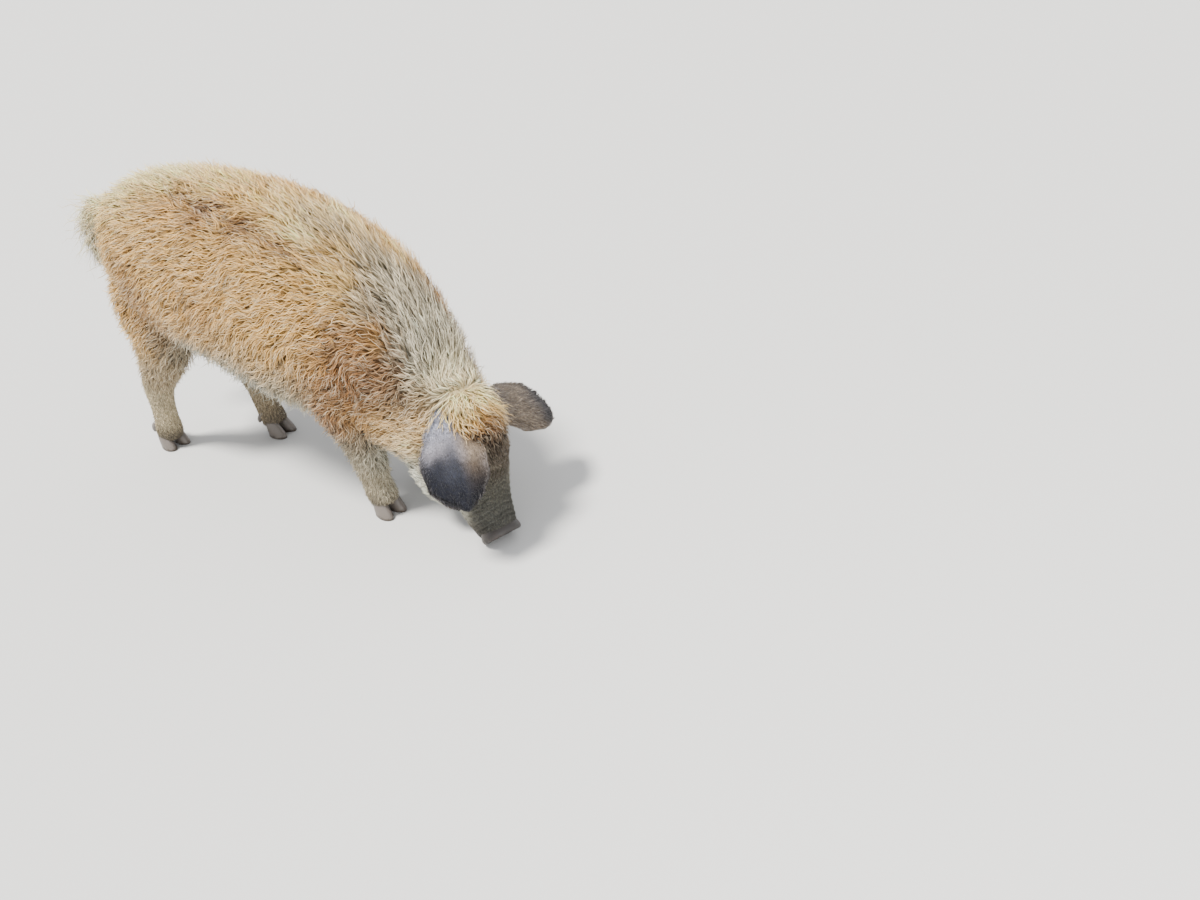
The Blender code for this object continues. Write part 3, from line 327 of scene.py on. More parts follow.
# Colours of the body's coat and, in the head's own frame, of the head's.
BODY_MARKINGS = table(
    Marking,
    ((-0.16, 0.0, 0.58), (255, 238, 198), 0.09),
    ((-0.03, 0.0, 0.69), CREAM),
    ((0.0, 0.0, 0.62), TAN),
    ((0.02, 0.09, 0.5), CREAM),
    # Paler cream and straw on top of the rump: partly the coat's own colour, partly a painted sunlit
    # highlight.
    ((0.09, 0.06, 0.75), STRAW),
    ((0.2, 0.03, 0.8), CREAM, 0.07),
    ((0.32, -0.03, 0.82), CREAM, 0.06),
    ((0.36, 0.07, 0.81), TAN),
    ((0.46, 0.0, 0.81), STRAW),
    ((0.56, 0.06, 0.79), TAN, 0.045),
    ((0.64, -0.03, 0.77), STRAW, 0.05, 0.25),
    ((0.66, 0.07, 0.765), TAN, 0.04, 0.22),
    ((0.28, 0.12, 0.77), TAN),
    # Orange and rust along the back's crease: painted shade in the fold.
    ((0.38, 0.12, 0.78), ORANGE, 0.035, 0.22),
    ((0.5, 0.12, 0.77), RUST, 0.026, 0.25),
    ((0.61, 0.12, 0.755), RUST, 0.026, 0.25),
    ((0.7, 0.12, 0.72), ORANGE, 0.028, 0.25),
    ((0.78, 0.12, 0.69), TAN, 0.03, 0.2),
    ((0.72, 0.07, 0.74), CREAM, 0.045, 0.22),
    ((0.81, 0.07, 0.7), STRAW, 0.04, 0.22),
    ((0.87, 0.08, 0.65), STRAW, 0.035, 0.22),
    ((0.66, 0.0, 0.79), OLIVE, 0.025, 0.5),
    ((0.72, 0.02, 0.77), OLIVE, 0.03, 0.55),
    ((0.79, 0.02, 0.735), OLIVE, 0.035, 0.6),
    ((0.86, 0.02, 0.69), OLIVE, 0.04, 0.6),
    ((0.8, -0.04, 0.7), TAN, 0.025),
    ((0.91, 0.02, 0.65), SILVER, 0.045, 0.6),
    ((0.96, 0.03, 0.58), SILVER, 0.045, 0.55),
    ((0.91, 0.08, 0.61), SILVER, 0.035, 0.5),
    ((1.01, 0.04, 0.51), (196, 190, 168), 0.05, 0.45),
    ((1.03, 0.07, 0.45), (196, 190, 168), 0.04, 0.4),
    ((1.06, 0.02, 0.42), (222, 212, 176), 0.045, 0.3),
    ((0.89, 0.12, 0.61), TAN, 0.03, 0.25),
    # Orange, rust and taupe along the shoulder's crease: painted shade in the fold.
    ((0.95, 0.12, 0.53), ORANGE, 0.026, 0.3),
    ((0.985, 0.13, 0.46), RUST, 0.026, 0.3),
    ((1.0, 0.14, 0.39), TAUPE, 0.04, 0.25),
    ((1.04, 0.11, 0.385), TAUPE, 0.03, 0.25),
    ((0.1, 0.15, 0.66), TAN, 0.07),
    ((0.35, 0.17, 0.73), TAN),
    ((0.24, 0.18, 0.54), (150, 112, 66), 0.06, 0.25),
    ((0.25, 0.15, 0.42), TAUPE, 0.04, 0.25),
    ((0.12, 0.15, 0.56), TAN, 0.06),
    ((0.54, 0.2, 0.67), TAN, 0.06, 0.22),
    ((0.49, 0.225, 0.55), (170, 128, 74), 0.055, 0.25),
    ((1.01, 0.14, 0.27), (255, 234, 190), 0.045),
    ((0.4, 0.21, 0.58), TAN, 0.08),
    ((0.5, 0.22, 0.5), TAN, 0.07, 0.2),
    ((0.3, 0.19, 0.48), ORANGE, 0.05, 0.2),
    ((0.66, 0.21, 0.58), TAN, 0.06),
    ((0.64, 0.21, 0.46), TAN, 0.06, 0.2),
    ((0.25, 0.12, 0.37), (158, 152, 132), 0.04),
    ((0.34, 0.16, 0.41), (176, 182, 172), 0.06),
    ((0.45, 0.1, 0.34), PALE, 0.07),
    ((0.46, 0.18, 0.4), (172, 180, 172), 0.06),
    ((0.57, 0.185, 0.395), (168, 176, 170), 0.07),
    ((0.7, 0.195, 0.385), (176, 168, 144), 0.045),
    ((0.68, 0.08, 0.28), PALE, 0.07),
    ((0.8, 0.17, 0.6), TAN, 0.05, 0.22),
    ((0.88, 0.16, 0.53), (152, 110, 62), 0.045, 0.32),
    ((0.76, 0.19, 0.5), TAN, 0.05, 0.22),
    ((0.85, 0.18, 0.44), RUST, 0.05, 0.3),
    ((0.92, 0.155, 0.41), (122, 84, 46), 0.045, 0.3),
    ((0.77, 0.18, 0.41), (168, 130, 82), 0.045, 0.28),
    ((0.8, 0.17, 0.31), RUST, 0.045, 0.25),
    ((0.88, 0.15, 0.31), ORANGE, 0.045, 0.25),
    ((0.95, 0.13, 0.28), TAN, 0.045, 0.2),
    ((0.92, 0.05, 0.18), PALE, 0.08),
    ((0.82, 0.04, 0.24), PALE, 0.06),
    ((0.16, 0.15, 0.42), TAN),
    ((0.05, 0.12, 0.4), CREAM),
    ((0.12, 0.13, 0.3), (172, 150, 112), 0.06),
    ((0.19, 0.12, 0.3), (172, 154, 122), 0.06),
    ((0.05, 0.1, 0.18), (202, 188, 154), 0.07),
    ((0.21, 0.1, 0.18), (170, 154, 126), 0.07),
    # Darker on the top of the foreleg: painted shade under the body.
    ((0.83, 0.15, 0.23), (122, 108, 84), 0.05, 0.2),
    ((0.84, 0.11, 0.13), (178, 164, 134), 0.06),
    ((0.03, 0.1, 0.03), DUSK, 0.03),
    ((0.27, 0.09, 0.03), DUSK, 0.03),
    ((0.85, 0.1, 0.03), DUSK, 0.03),
)
HEAD_MARKINGS = table(
    Marking,
    ((-0.09, 0.04, 0.055), (255, 238, 192), 0.035, 0.22),
    ((-0.06, 0.0, 0.085), CREAM, 0.035, 0.22),
    ((-0.02, 0.03, 0.095), STRAW, 0.025, 0.22),
    ((0.005, 0.01, 0.105), ORANGE, 0.02, 0.28),
    ((0.024, 0.02, 0.1), (148, 98, 48), 0.018, 0.3),
    # Dark brown round the brow and the eye: painted shade under the forelock and in the eye's hollow.
    ((0.042, 0.02, 0.095), (84, 58, 34), 0.018, 0.3),
    ((0.064, 0.02, 0.09), (54, 42, 28), 0.026, 0.3),
    ((0.072, 0.045, 0.06), (66, 50, 34), 0.022, 0.3),
    ((0.095, 0.066, 0.03), (66, 56, 48), 0.02),
    ((0.02, 0.09, 0.0), TAN, 0.035, 0.2),
    ((-0.04, 0.1, -0.03), TAN, 0.04, 0.2),
    ((0.08, 0.08, -0.02), BUFF, 0.025),
    ((0.05, 0.11, -0.1), PALE),
    ((0.02, 0.02, -0.17), PALE, 0.06),
    ((0.13, 0.03, -0.14), PALE),
    ((0.12, 0.0, 0.055), (82, 74, 62), 0.025),
    ((0.12, 0.06, 0.0), (116, 112, 98), 0.025),
    ((0.16, 0.06, -0.05), (112, 112, 102), 0.035),
    ((0.17, 0.0, 0.02), (88, 88, 80), 0.035),
    ((0.22, 0.03, -0.01), (80, 81, 76), 0.03),
    # Darker at the lower end of the muzzle: partly mud and partly painted shade.
    ((0.255, 0.03, -0.06), (54, 52, 48), 0.025),
    ((0.23, 0.03, -0.11), (62, 58, 52), 0.03),
    ((0.27, 0.02, -0.09), (44, 40, 37), 0.02),
)


def linear(shade: Sequence[float]) -> Array:
    """The linear colour of a shade given in steps of 255."""
    share = np.asarray(shade, dtype=float) / 255.0
    return np.where(share <= 0.04045, share / 12.92, ((share + 0.055) / 1.055) ** 2.4)


def head_frame() -> Matrix:
    """Places the head's own frame in the animal's.

    Returns:
        The matrix.
    """
    left = Vector((0, 0, 1)).cross(HEAD_ALONG).normalized()
    out = HEAD_ALONG.cross(left)
    turn = Matrix((HEAD_ALONG, left, out)).transposed().to_4x4()
    return Matrix.Translation(HEAD_AT) @ turn


HEAD = head_frame()
HEAD_TURN = np.array(HEAD.to_3x3())


def into_head(points: Array) -> Array:
    """Points of the animal's frame, in the head's frame."""
    return (points - np.array(HEAD_AT)) @ HEAD_TURN


def between(points: Sequence[float], share: float) -> float:
    """Catmull-Rom value between the middle two of four values.

    Args:
        points: The four values.
        share: The place between, from 0 to 1.

    Returns:
        The value there.
    """
    a, b, c, d = points
    line = 2 * b + (c - a) * share
    curve = (2 * a - 5 * b + 4 * c - d) * share**2 + (3 * b - a - 3 * c + d) * share**3
    return (line + curve) / 2


def smoothed(ovals: Sequence[Oval], steps: int) -> list[Oval]:
    """The sections with more of them between, on one smooth curve.

    Args:
        ovals: The given sections.
        steps: How many are made for each.

    Returns:
        The sections.
    """
    last = len(ovals) - 1
    made = []
    for i in range(last):
        near = [ovals[min(max(i + k, 0), last)] for k in (-1, 0, 1, 2)]
        made += [Oval(*(between(four, k / steps) for four in zip(*near))) for k in range(steps)]
    return [*made, ovals[-1]]


def draped(columns: int, rows: int, place: Place) -> Shape:
    """A grid bent round to a shape and closed.

    Args:
        columns: Faces along u, whose two ends meet.
        rows: Faces along v, whose open ends are capped.
        place: Gives the point for u and v from 0 to 1.

    Returns:
        The shape, with its faces outwards.
    """
    bm = bmesh.new()
    bmesh.ops.create_grid(bm, x_segments=columns, y_segments=rows, size=0.5)
    for vert in bm.verts:
        vert.co = place(round(vert.co.x + 0.5, 6), round(vert.co.y + 0.5, 6))
    bmesh.ops.remove_doubles(bm, verts=bm.verts, dist=1e-6)
    rims = [edge for edge in bm.edges if edge.is_boundary]
    bmesh.ops.holes_fill(bm, edges=rims, sides=0)
    bmesh.ops.recalc_face_normals(bm, faces=bm.faces)
    return bm


def tube(ovals: Sequence[Oval], sides: int, steps: int, square: float = 2.25) -> Shape:
    """A closed tube of oval sections.

    Args:
        ovals: The sections, from end to end.
        sides: Faces round the tube.
        steps: Rings for each given section.
        square: The superellipse's power, which over 2 makes the sections fuller than an ellipse.

    Returns:
        The tube.
    """
    many = smoothed(ovals, steps)
    last = len(many) - 1
    points = [Vector(s[:3]) for s in many]

    def place(u: float, v: float) -> Vector:
        """The point round the section nearest to v.

        Args:
            u: The place round the tube.
            v: The place along it.

        Returns:
            The point.
        """
        i = round(v * last)
        along = (points[min(i + 1, last)] - points[max(i - 1, 0)]).normalized()
        side = Vector((0, 1, 0))
        across = (side - along * side.dot(along)).normalized()
        c, s = math.cos(math.tau * u), math.sin(math.tau * u)
        x = math.copysign(abs(c) ** (2 / square), c) * many[i].wide
        z = math.copysign(abs(s) ** (2 / square), s) * many[i].tall
        return points[i] + across * x + along.cross(across) * z

    return draped(sides, last, place)


def along_rows(rows: Sequence[Sequence[float]], share: float) -> list[float]:
    """Finds the values between evenly spaced rows.

    Args:
        rows: The rows.
        share: The place along them, from 0 to 1.

    Returns:
        One value for each column.
    """
    spot = share * (len(rows) - 1)
    k = min(int(spot), len(rows) - 2)
    return [a + (b - a) * (spot - k) for a, b in zip(rows[k], rows[k + 1])]


def gathered(shapes: Sequence[tuple[Shape, Matrix]]) -> Shape:
    """Puts shapes together in one, and frees them.

    Args:
        shapes: Each shape and the matrix that moves it.

    Returns:
        The whole.
    """
    whole = bmesh.new()
    for shape, turn in shapes:
        shape.transform(turn)
        held = bpy.data.meshes.new("held")
        shape.to_mesh(held)
        shape.free()
        whole.from_mesh(held)
        bpy.data.meshes.remove(held)
    return whole


def mesh_object(name: str, bm: Shape, finish: Finish | None = None) -> Piece:
    """Shows a shape in the model's frame, and frees it.

    Args:
        name: The piece's name.
        bm: The shape, in the animal's frame.
        finish: Its material.

    Returns:
        The object.
    """
    bm.transform(Matrix.Translation(-ORIGIN))
    mesh = bpy.data.meshes.new(name)
    bm.to_mesh(mesh)
    bm.free()
    mesh.shade_smooth()
    return shown(name, mesh, finish)


def shown(name: str, mesh: Mesh, finish: Finish | None = None) -> Piece:
    """Puts a mesh in the scene.

    Args:
        name: The piece's name.
        mesh: The mesh.
        finish: Its material.

    Returns:
        The object.
    """
    made = bpy.data.objects.new(name, mesh)
    bpy.context.scene.collection.objects.link(made)
    if finish:
        mesh.materials.append(finish)
    return made


def corners_of(mesh: Mesh) -> tuple[Array, Array]:
    """A mesh's points and normals, in the animal's frame.

    Args:
        mesh: The mesh.

    Returns:
        A row for each point and one for its normal.
    """
    points = np.empty(len(mesh.vertices) * 3)
    normals = np.empty(len(mesh.vertices) * 3)
    mesh.vertices.foreach_get("co", points)
    mesh.vertices.foreach_get("normal", normals)
    return points.reshape(-1, 3) + np.array(ORIGIN), normals.reshape(-1, 3)


def triangles_of(mesh: Mesh) -> tuple[Array, Array, Array]:
    """Takes a mesh's triangles apart.

    Args:
        mesh: The mesh.

    Returns:
        The three points of each, their normals, and its area.
    """
    mesh.calc_loop_triangles()
    index = np.empty(len(mesh.loop_triangles) * 3, dtype=np.int32)
    mesh.loop_triangles.foreach_get("vertices", index)
    index = index.reshape(-1, 3)
    points, normals = corners_of(mesh)
    corners = points[index]
    a, b, c = corners.swapaxes(0, 1)
    return corners, normals[index], np.linalg.norm(np.cross(b - a, c - a), axis=1) / 2


def move_corners(mesh: Mesh, points: Array) -> None:
    """Sets a mesh's points, given in the animal's frame."""
    mesh.vertices.foreach_set("co", (points - np.array(ORIGIN)).ravel())
    mesh.update()


def paint(mesh: Mesh, colours: Array, headed: bool = False) -> None:
    """Keeps a colour for each point of a mesh.

    Args:
        mesh: The mesh.
        colours: The linear colours.
        headed: Whether the fur on it follows the head.
    """
    layer = mesh.color_attributes.new("Coat", "FLOAT_COLOR", "POINT")
    full = np.ones((len(colours), 4))
    full[:, :3] = colours
    layer.data.foreach_set("color", full.ravel())
    if headed:
        points, _ = corners_of(mesh)
        share = rising(into_head(points)[:, 0], 0.0, 0.04) * (points[:, 0] > NAPE_X)
        mesh.attributes.new("Head", "FLOAT", "POINT").data.foreach_set("value", share)


def unit(rows: Array) -> Array:
    """Each row at length 1."""
    return rows / np.maximum(np.linalg.norm(rows, axis=-1, keepdims=True), 1e-9)


def laid(ways: Array, normals: Array) -> Array:
    """Directions pressed flat onto a surface."""
    return unit(ways - normals * np.sum(ways * normals, axis=-1, keepdims=True))


def rising(values: Array, start: float, run: float) -> Array:
    """0 before the start and 1 after the run, which falls the other way where it is negative."""
    return np.clip((values - start) / run, 0, 1)


def hump(values: Array, middle: float, width: float) -> Array:
    """1 at the middle, falling off smoothly over the width on both sides."""
    return np.exp(-(((values - middle) / width) ** 2))


def blended(first: Array, second: Array, share: Array) -> Array:
    """The first colours, with this share of the second ones."""
    return first * (1 - share) + second * share


def swell(points: Array, scale: float, seed: float) -> Array:
    """A smooth value from about -1 to 1 that drifts over space, for waves that neighbours share.

    Args:
        points: Points of the animal.
        scale: How quickly it drifts.
        seed: Which of such waves it is.

    Returns:
        The value at each point.
    """
    x, y, z = (points * scale).T
    first = np.sin(1.7 * x + 1.1 * z + seed) * np.cos(1.3 * z - 0.9 * x + 2 * seed)
    second = np.sin(2.9 * z + 1.9 * x - 1.3 * y + 3 * seed) * np.cos(2.3 * x + 1.7 * y - seed)
    return first + 0.6 * second


@dataclass(frozen=True)
class CoatField:
    """The lie, length and colour of the coat at any place."""

    growth: tuple[Growth, ...] = ()
    markings: tuple[Marking, ...] = ()

    @staticmethod
    def whole() -> "CoatField":
        """The field of the whole animal, with the head's rows turned into its frame and both sides given.

        Returns:
            The field.
        """
        grown, marked = [], []
        for row in BODY_GROWTH:
            grown += CoatField.both(row)
        for row in HEAD_GROWTH:
            for one in CoatField.both(row):
                at = tuple(HEAD @ Vector(one.at))
                way = tuple(HEAD.to_3x3() @ Vector(one.way))
                grown.append(one._replace(at=at, way=way))
        for row in BODY_MARKINGS:
            marked += CoatField.both(row)
        for row in HEAD_MARKINGS:
            marked += [one._replace(at=tuple(HEAD @ Vector(one.at))) for one in CoatField.both(row)]
        return CoatField(tuple(grown), tuple(marked))

    @staticmethod
    def both(row: Growth | Marking) -> list[Growth | Marking]:
        """A row and, if it stands off the middle, the same on the other side.

        Args:
            row: The row.

        Returns:
            One row or two.
        """
        x, y, z = row.at
        if y <= 0:
            return [row]
        over = row._replace(at=(x, -y, z))
        if isinstance(row, Growth):
            over = over._replace(way=(row.way[0], -row.way[1], row.way[2]))
        return [row, over]

    @staticmethod
    def shares(points: Array, rows: Sequence[Growth | Marking]) -> Array:
        """How much each row counts at each point.

        Args:
            points: Points of the animal.
            rows: The rows.

        Returns:
            Shares that come to 1 for each point.
        """
        made = np.empty((len(points), len(rows)))
        for k, row in enumerate(rows):
            away = np.linalg.norm(points - np.array(row.at), axis=1) / row.reach
            made[:, k] = np.exp(-(away**1.6)) + 1e-12 / (1 + away**4)
        return made / made.sum(axis=1, keepdims=True)

    @staticmethod
    def creased(points: Array) -> Array:
        """How deep each point lies in a crease of the coat, from 0 to 1.

        Args:
            points: Points of the animal.

        Returns:
            The depth at each.
        """
        folded = points * (1, 0, 1) + np.abs(points) * (0, 1, 0)
        made = np.zeros(len(points))
        for strength, line in CREASES:
            for a, b in zip(line, line[1:]):
                start, run = np.array(a), np.array(b) - np.array(a)
                part = np.clip((folded - start) @ run / (run @ run), 0, 1)
                away = np.linalg.norm(folded - start - part[:, None] * run, axis=1)
                made = np.maximum(made, np.minimum(strength * hump(away, 0.0, 0.015), 1.0))
        return made

    def grow(self, points: Array) -> tuple[Array, Array]:
        """Reads how the coat grows.

        Args:
            points: Points of the animal.

        Returns:
            The lie at each point, and its length, width, wave, lift and stand.
        """
        share = self.shares(points, self.growth)
        ways = share @ np.array([row.way for row in self.growth])
        sizes = share @ np.array([row[2:7] for row in self.growth])
        crease = self.creased(points)
        sizes[:, 3] *= 1 - 0.8 * crease
        sizes[:, 0] *= 1 - 0.4 * crease
        return ways, sizes

    def colour(self, points: Array) -> tuple[Array, Array]:
        """Reads the coat's colour, with painted shade along the creases.

        Args:
            points: Points of the animal.

        Returns:
            The colour at each point, and how much the tufts differ.
        """
        drift = np.stack([swell(points, 30.0, s) for s in (0.3, 1.9, 4.1)], axis=1) * 0.008
        share = self.shares(points + drift, self.markings)
        shade = share @ np.array([linear(row.shade) for row in self.markings])
        # Painted shade: the coat is darkened along the creases.
        shade *= 1 - self.creased(points)[:, None] * (0.62, 0.70, 0.76)
        return shade, share @ np.array([row.fleck for row in self.markings])


@dataclass
class Chart:
    """A plain unwrap of the body, each limb in a box of its own."""

    limbs: tuple[tuple[Oval, ...], ...] = (TRUNK, HIND_RIGHT, HIND_LEFT, FORE_RIGHT, FORE_LEFT, TAIL)

    def lay(self, points: Array) -> Array:
        """The place on the unwrap of each point.

        Args:
            points: Points on the skin, in the animal's frame.

        Returns:
            Two numbers from 0 to 1 for each point.
        """
        limbs = [np.array([s[:5] for s in smoothed(limb, 6)]) for limb in self.limbs]
        skull = np.array([s[:5] for s in smoothed(SKULL, 6)])
        skull[:, :3] = skull[:, :3] @ HEAD_TURN.T + np.array(HEAD_AT)
        limbs.append(skull)
        boxes = ((0, 0, 0.62, 1), (0.62, 0, 0.1, 0.5), (0.72, 0, 0.1, 0.5), (0.82, 0, 0.09, 0.5),
                 (0.91, 0, 0.09, 0.5), (0.62, 0.5, 0.06, 0.5), (0.68, 0.5, 0.32, 0.5))
        best = np.full(len(points), 1e9)
        made = np.zeros((len(points), 2))
        for limb, (left, low, wide, tall) in zip(limbs, boxes):
            for i, (x, y, z, across, high) in enumerate(limb):
                away = points - np.array((x, y, z))
                depth = np.linalg.norm(away, axis=1) / max(across, high)
                near = depth < best
                best[near] = depth[near]
                turn = np.arctan2(away[near, 1], away[near, 2] + 0.3 * away[near, 0]) / math.tau + 0.5
                made[near, 0] = left + wide * (0.02 + 0.96 * i / len(limb))
                made[near, 1] = low + tall * (0.02 + 0.96 * turn)
        return made


@dataclass
class Flesh:
    """The smooth skin of the whole animal, without its coat."""

    voxel: float = 0.0042
    smoothing: int = 26
    faces: int = 100000
    face_from: float = 0.055
    name: str = "skin"

    def build(self) -> Piece:
        """Builds the fused skin, finer on the face, with its folds.

        Returns:
            The skin.
        """
        still = Matrix.Identity(4)
        shapes = [(tube(TRUNK, 60, 5), still), (tube(SKULL, 48, 5), HEAD), (tube(TAIL, 24, 6, 2.0), still)]
        shapes += [(tube(ovals, 36, 5, 2.1), still) for ovals in LEG_OVALS.values()]
        for middle, half in SWELLINGS:
            shapes += [(self.swelling(middle, half, side), HEAD) for side in (-1, 1)]
        skin = mesh_object(self.name, gathered(shapes))
        self.fuse(skin)
        self.refine_face(skin.data)
        self.fold_face(skin.data)
        skin.data.shade_smooth()
        return skin

    @staticmethod
    def swelling(middle: Sequence[float], half: Sequence[float], side: int) -> Shape:
        """An ellipsoid on one side of the head.

        Args:
            middle: Its middle on the left.
            half: Its half sizes.
            side: 1 for the left and -1 for the right.

        Returns:
            The shape.
        """
        bm = bmesh.new()
        bmesh.ops.create_uvsphere(bm, u_segments=32, v_segments=20, radius=1.0)
        at = Matrix.Translation((middle[0], middle[1] * side, middle[2]))
        bm.transform(at @ Matrix.Diagonal((*half, 1.0)))
        return bm

    def fuse(self, skin: Piece) -> None:
        """Melts the limbs into one surface and thins it out where the coat hides it.

        Args:
            skin: The limbs, which become the skin.
        """
        fuse = skin.modifiers.new("fuse", "REMESH")
        fuse.mode = "VOXEL"
        fuse.voxel_size = self.voxel
        soften = skin.modifiers.new("soften", "SMOOTH")
        soften.factor = 0.5
        soften.iterations = self.smoothing
        self.apply(skin)
        points, _ = corners_of(skin.data)
        head = into_head(points)
        body = (head[:, 0] <= 0.0) | (points[:, 0] <= NAPE_X)
        group = skin.vertex_groups.new(name="body")
        group.add(np.flatnonzero(body).tolist(), 1.0, "REPLACE")
        fewer = skin.modifiers.new("fewer", "DECIMATE")
        fewer.vertex_group = group.name
        fewer.ratio = self.faces / (2 * len(skin.data.polygons))
        self.apply(skin)
        skin.vertex_groups.clear()

    @staticmethod
    def apply(skin: Piece) -> None:
        """Turns the modifiers into the mesh.

        Args:
            skin: The object that has them.
        """
        graph = bpy.context.evaluated_depsgraph_get()
        mesh = bpy.data.meshes.new_from_object(skin.evaluated_get(graph))
        skin.modifiers.clear()
        skin.data = mesh

    def refine_face(self, mesh: Mesh) -> None:
        """Cuts the face's faces finer, and smooths the cuts.

        Args:
            mesh: The skin's mesh.
        """
        bm = bmesh.new()
        bm.from_mesh(mesh)
        back = HEAD.inverted() @ Matrix.Translation(ORIGIN)
        chosen = set()
        for face in bm.faces:
            spot = back @ face.calc_center_median()
            if spot.x > self.face_from and spot.z > -0.19 and face.calc_center_median().x > 0.45:
                chosen.update(face.edges)
        made = bmesh.ops.subdivide_edges(bm, edges=list(chosen), cuts=1, use_grid_fill=True, smooth=0.2)
        verts = [item for item in made["geom_inner"] if isinstance(item, bmesh.types.BMVert)]
        axes = {"use_axis_" + axis: True for axis in "xyz"}
        for _ in range(2):
            bmesh.ops.smooth_vert(bm, verts=verts, factor=0.4, **axes)
        bmesh.ops.triangulate(bm, faces=[face for face in bm.faces if len(face.verts) > 4])
        bm.to_mesh(mesh)
        bm.free()

    @staticmethod
    def mouth_height(x: Array) -> Array:
        """How far under the head's own axis the mouth lies, at this distance along it."""
        share = (x - 0.120) / 0.142
        return -0.084 - 0.012 * share - 0.006 * np.sin(np.pi * np.clip(share, 0, 1))

    def fold_face(self, mesh: Mesh) -> None:
        """Presses in the mouth, the wrinkles of the snout and the hollows of the eyes.

        Args:
            mesh: The skin's mesh.
        """
        points, normals = corners_of(mesh)
        head = into_head(points)
        x, y, z = head.T
        rise = np.zeros(len(points))
        ahead = rising(x, 0.112, 0.020) * (np.abs(y) > 0.008)
        low = z - self.mouth_height(x)
        lips = ((-0.0075, 0.0, 0.0028), (0.0030, 0.0085, 0.0060), (0.0022, -0.0080, 0.0060))
        for height, middle, width in lips:
            rise += height * hump(low, middle, width) * ahead
        snout = rising(x, 0.135, 0.02) * rising(x, 0.262, -0.01) * rising(z, -0.075, 0.02)
        bent = x - 4.0 * y**2 + 0.002 * np.sin(90 * y)
        rise += 0.0011 * snout * np.sin(math.tau * bent / 0.0155)
        rise += 0.0007 * snout * np.sin(math.tau * (bent + 0.10 * z) / 0.0094 + 1.0)
        brow = hump(x, 0.075, 0.016) * hump(y, 0.0, 0.045) * (z > 0.02)
        rise += 0.0020 * brow * np.sin(math.tau * y / 0.022 + 1.2)
        for side in (-1, 1):
            rise += EyePair.hollow(head, side)
        rise = rise * (points[:, 0] > FACE_X) - 0.012 * CoatField.creased(points)
        folded = points + normals * rise[:, None]
        folded[:, 2] = np.maximum(folded[:, 2], CLEAR)
        move_corners(mesh, folded)


@dataclass
class SurfaceTree:
    """Finds the nearest place on a surface."""

    tree: BVHTree

    @staticmethod
    def of(mesh: Mesh) -> "SurfaceTree":
        """Makes the tree of a mesh.

        Args:
            mesh: The mesh.

        Returns:
            The tree.
        """
        points, _ = corners_of(mesh)
        faces = [tuple(face.vertices) for face in mesh.polygons]
        return SurfaceTree(BVHTree.FromPolygons(points.tolist(), faces))

    def nearest(self, points: Array) -> tuple[Array, Array]:
        """Finds the nearest places on the surface.

        Args:
            points: Points of the animal.

        Returns:
            The place for each point, and the way that the surface faces there.
        """
        spots = np.empty_like(points)
        facings = np.empty_like(points)
        find = self.tree.find_nearest
        for i, point in enumerate(points.tolist()):
            spots[i], facings[i] = find(point)[:2]
        return spots, facings

    def ray(self, start: Vector, way: Vector) -> tuple[Vector, Vector]:
        """Where a line meets the surface, and the surface's normal there."""
        return self.tree.ray_cast(start, way.normalized())[:2]


def fresh_material(name: str, values: dict[str, object]) -> tuple[Finish, Node]:
    """Makes a material.

    Args:
        name: Its name.
        values: What its shader's sockets hold.

    Returns:
        The material and its shader.
    """
    made = bpy.data.materials.new(name)
    made.use_nodes = True
    shader = made.node_tree.nodes["Principled BSDF"]
    for key, value in values.items():
        shader.inputs[key].default_value = value
    return made, shader


def node(tree: Tree, kind: str, values: dict[str, object] | None = None, **settings: object) -> Node:
    """Adds a shader node.

    Args:
        tree: Where it goes.
        kind: Its kind, without the words that each kind starts with.
        values: What its sockets hold.
        settings: Its own settings, which are made first.

    Returns:
        The node.
    """
    made = tree.nodes.new("ShaderNode" + kind)
    for key, value in settings.items():
        setattr(made, key, value)
    for key, value in (values or {}).items():
        made.inputs[key].default_value = value
    return made


def link(tree: Tree, *links: tuple[Node, str, Node, str | int]) -> None:
    """Links an output of one node to a socket of another, for each row."""
    for start, output, end, socket in links:
        tree.links.new(start.outputs[output], end.inputs[socket])


def graded(tree: Tree, *stops: tuple[float, Sequence[float]]) -> Node:
    """Adds a colour ramp.

    Args:
        tree: Where it goes.
        stops: The place and linear colour of each stop.

    Returns:
        The node.
    """
    made = node(tree, "ValToRGB")
    for stop, (at, shade) in zip(made.color_ramp.elements, stops):
        stop.position = at
        stop.color = (*shade, 1)
    return made


def darkened(tree: Tree, factor: float, under: tuple[Node, str], over: tuple[Node, str]) -> Node:
    """Adds a mix that multiplies one colour by another.

    Args:
        tree: Where it goes.
        factor: How much it does so.
        under: A node and its output.
        over: Another node and its output.

    Returns:
        The node.
    """
    made = node(tree, "Mix", {"Factor": factor}, data_type="RGBA", blend_type="MULTIPLY")
    link(tree, (*under, made, "A"), (*over, made, "B"))
    return made


def along_strand(group: Tree) -> bpy.types.NodeSocket:
    """Where a point lies on its own tuft, stretched along it.

    Args:
        group: The group that needs it.

    Returns:
        The socket that gives it.
    """
    along = node(group, "UVMap", uv_map="Strand")
    stretch = node(group, "Mapping", {"Scale": (2.9, 0.40, 1.0)})
    link(group, (along, "UV", stretch, "Vector"))
    return stretch.outputs["Vector"]


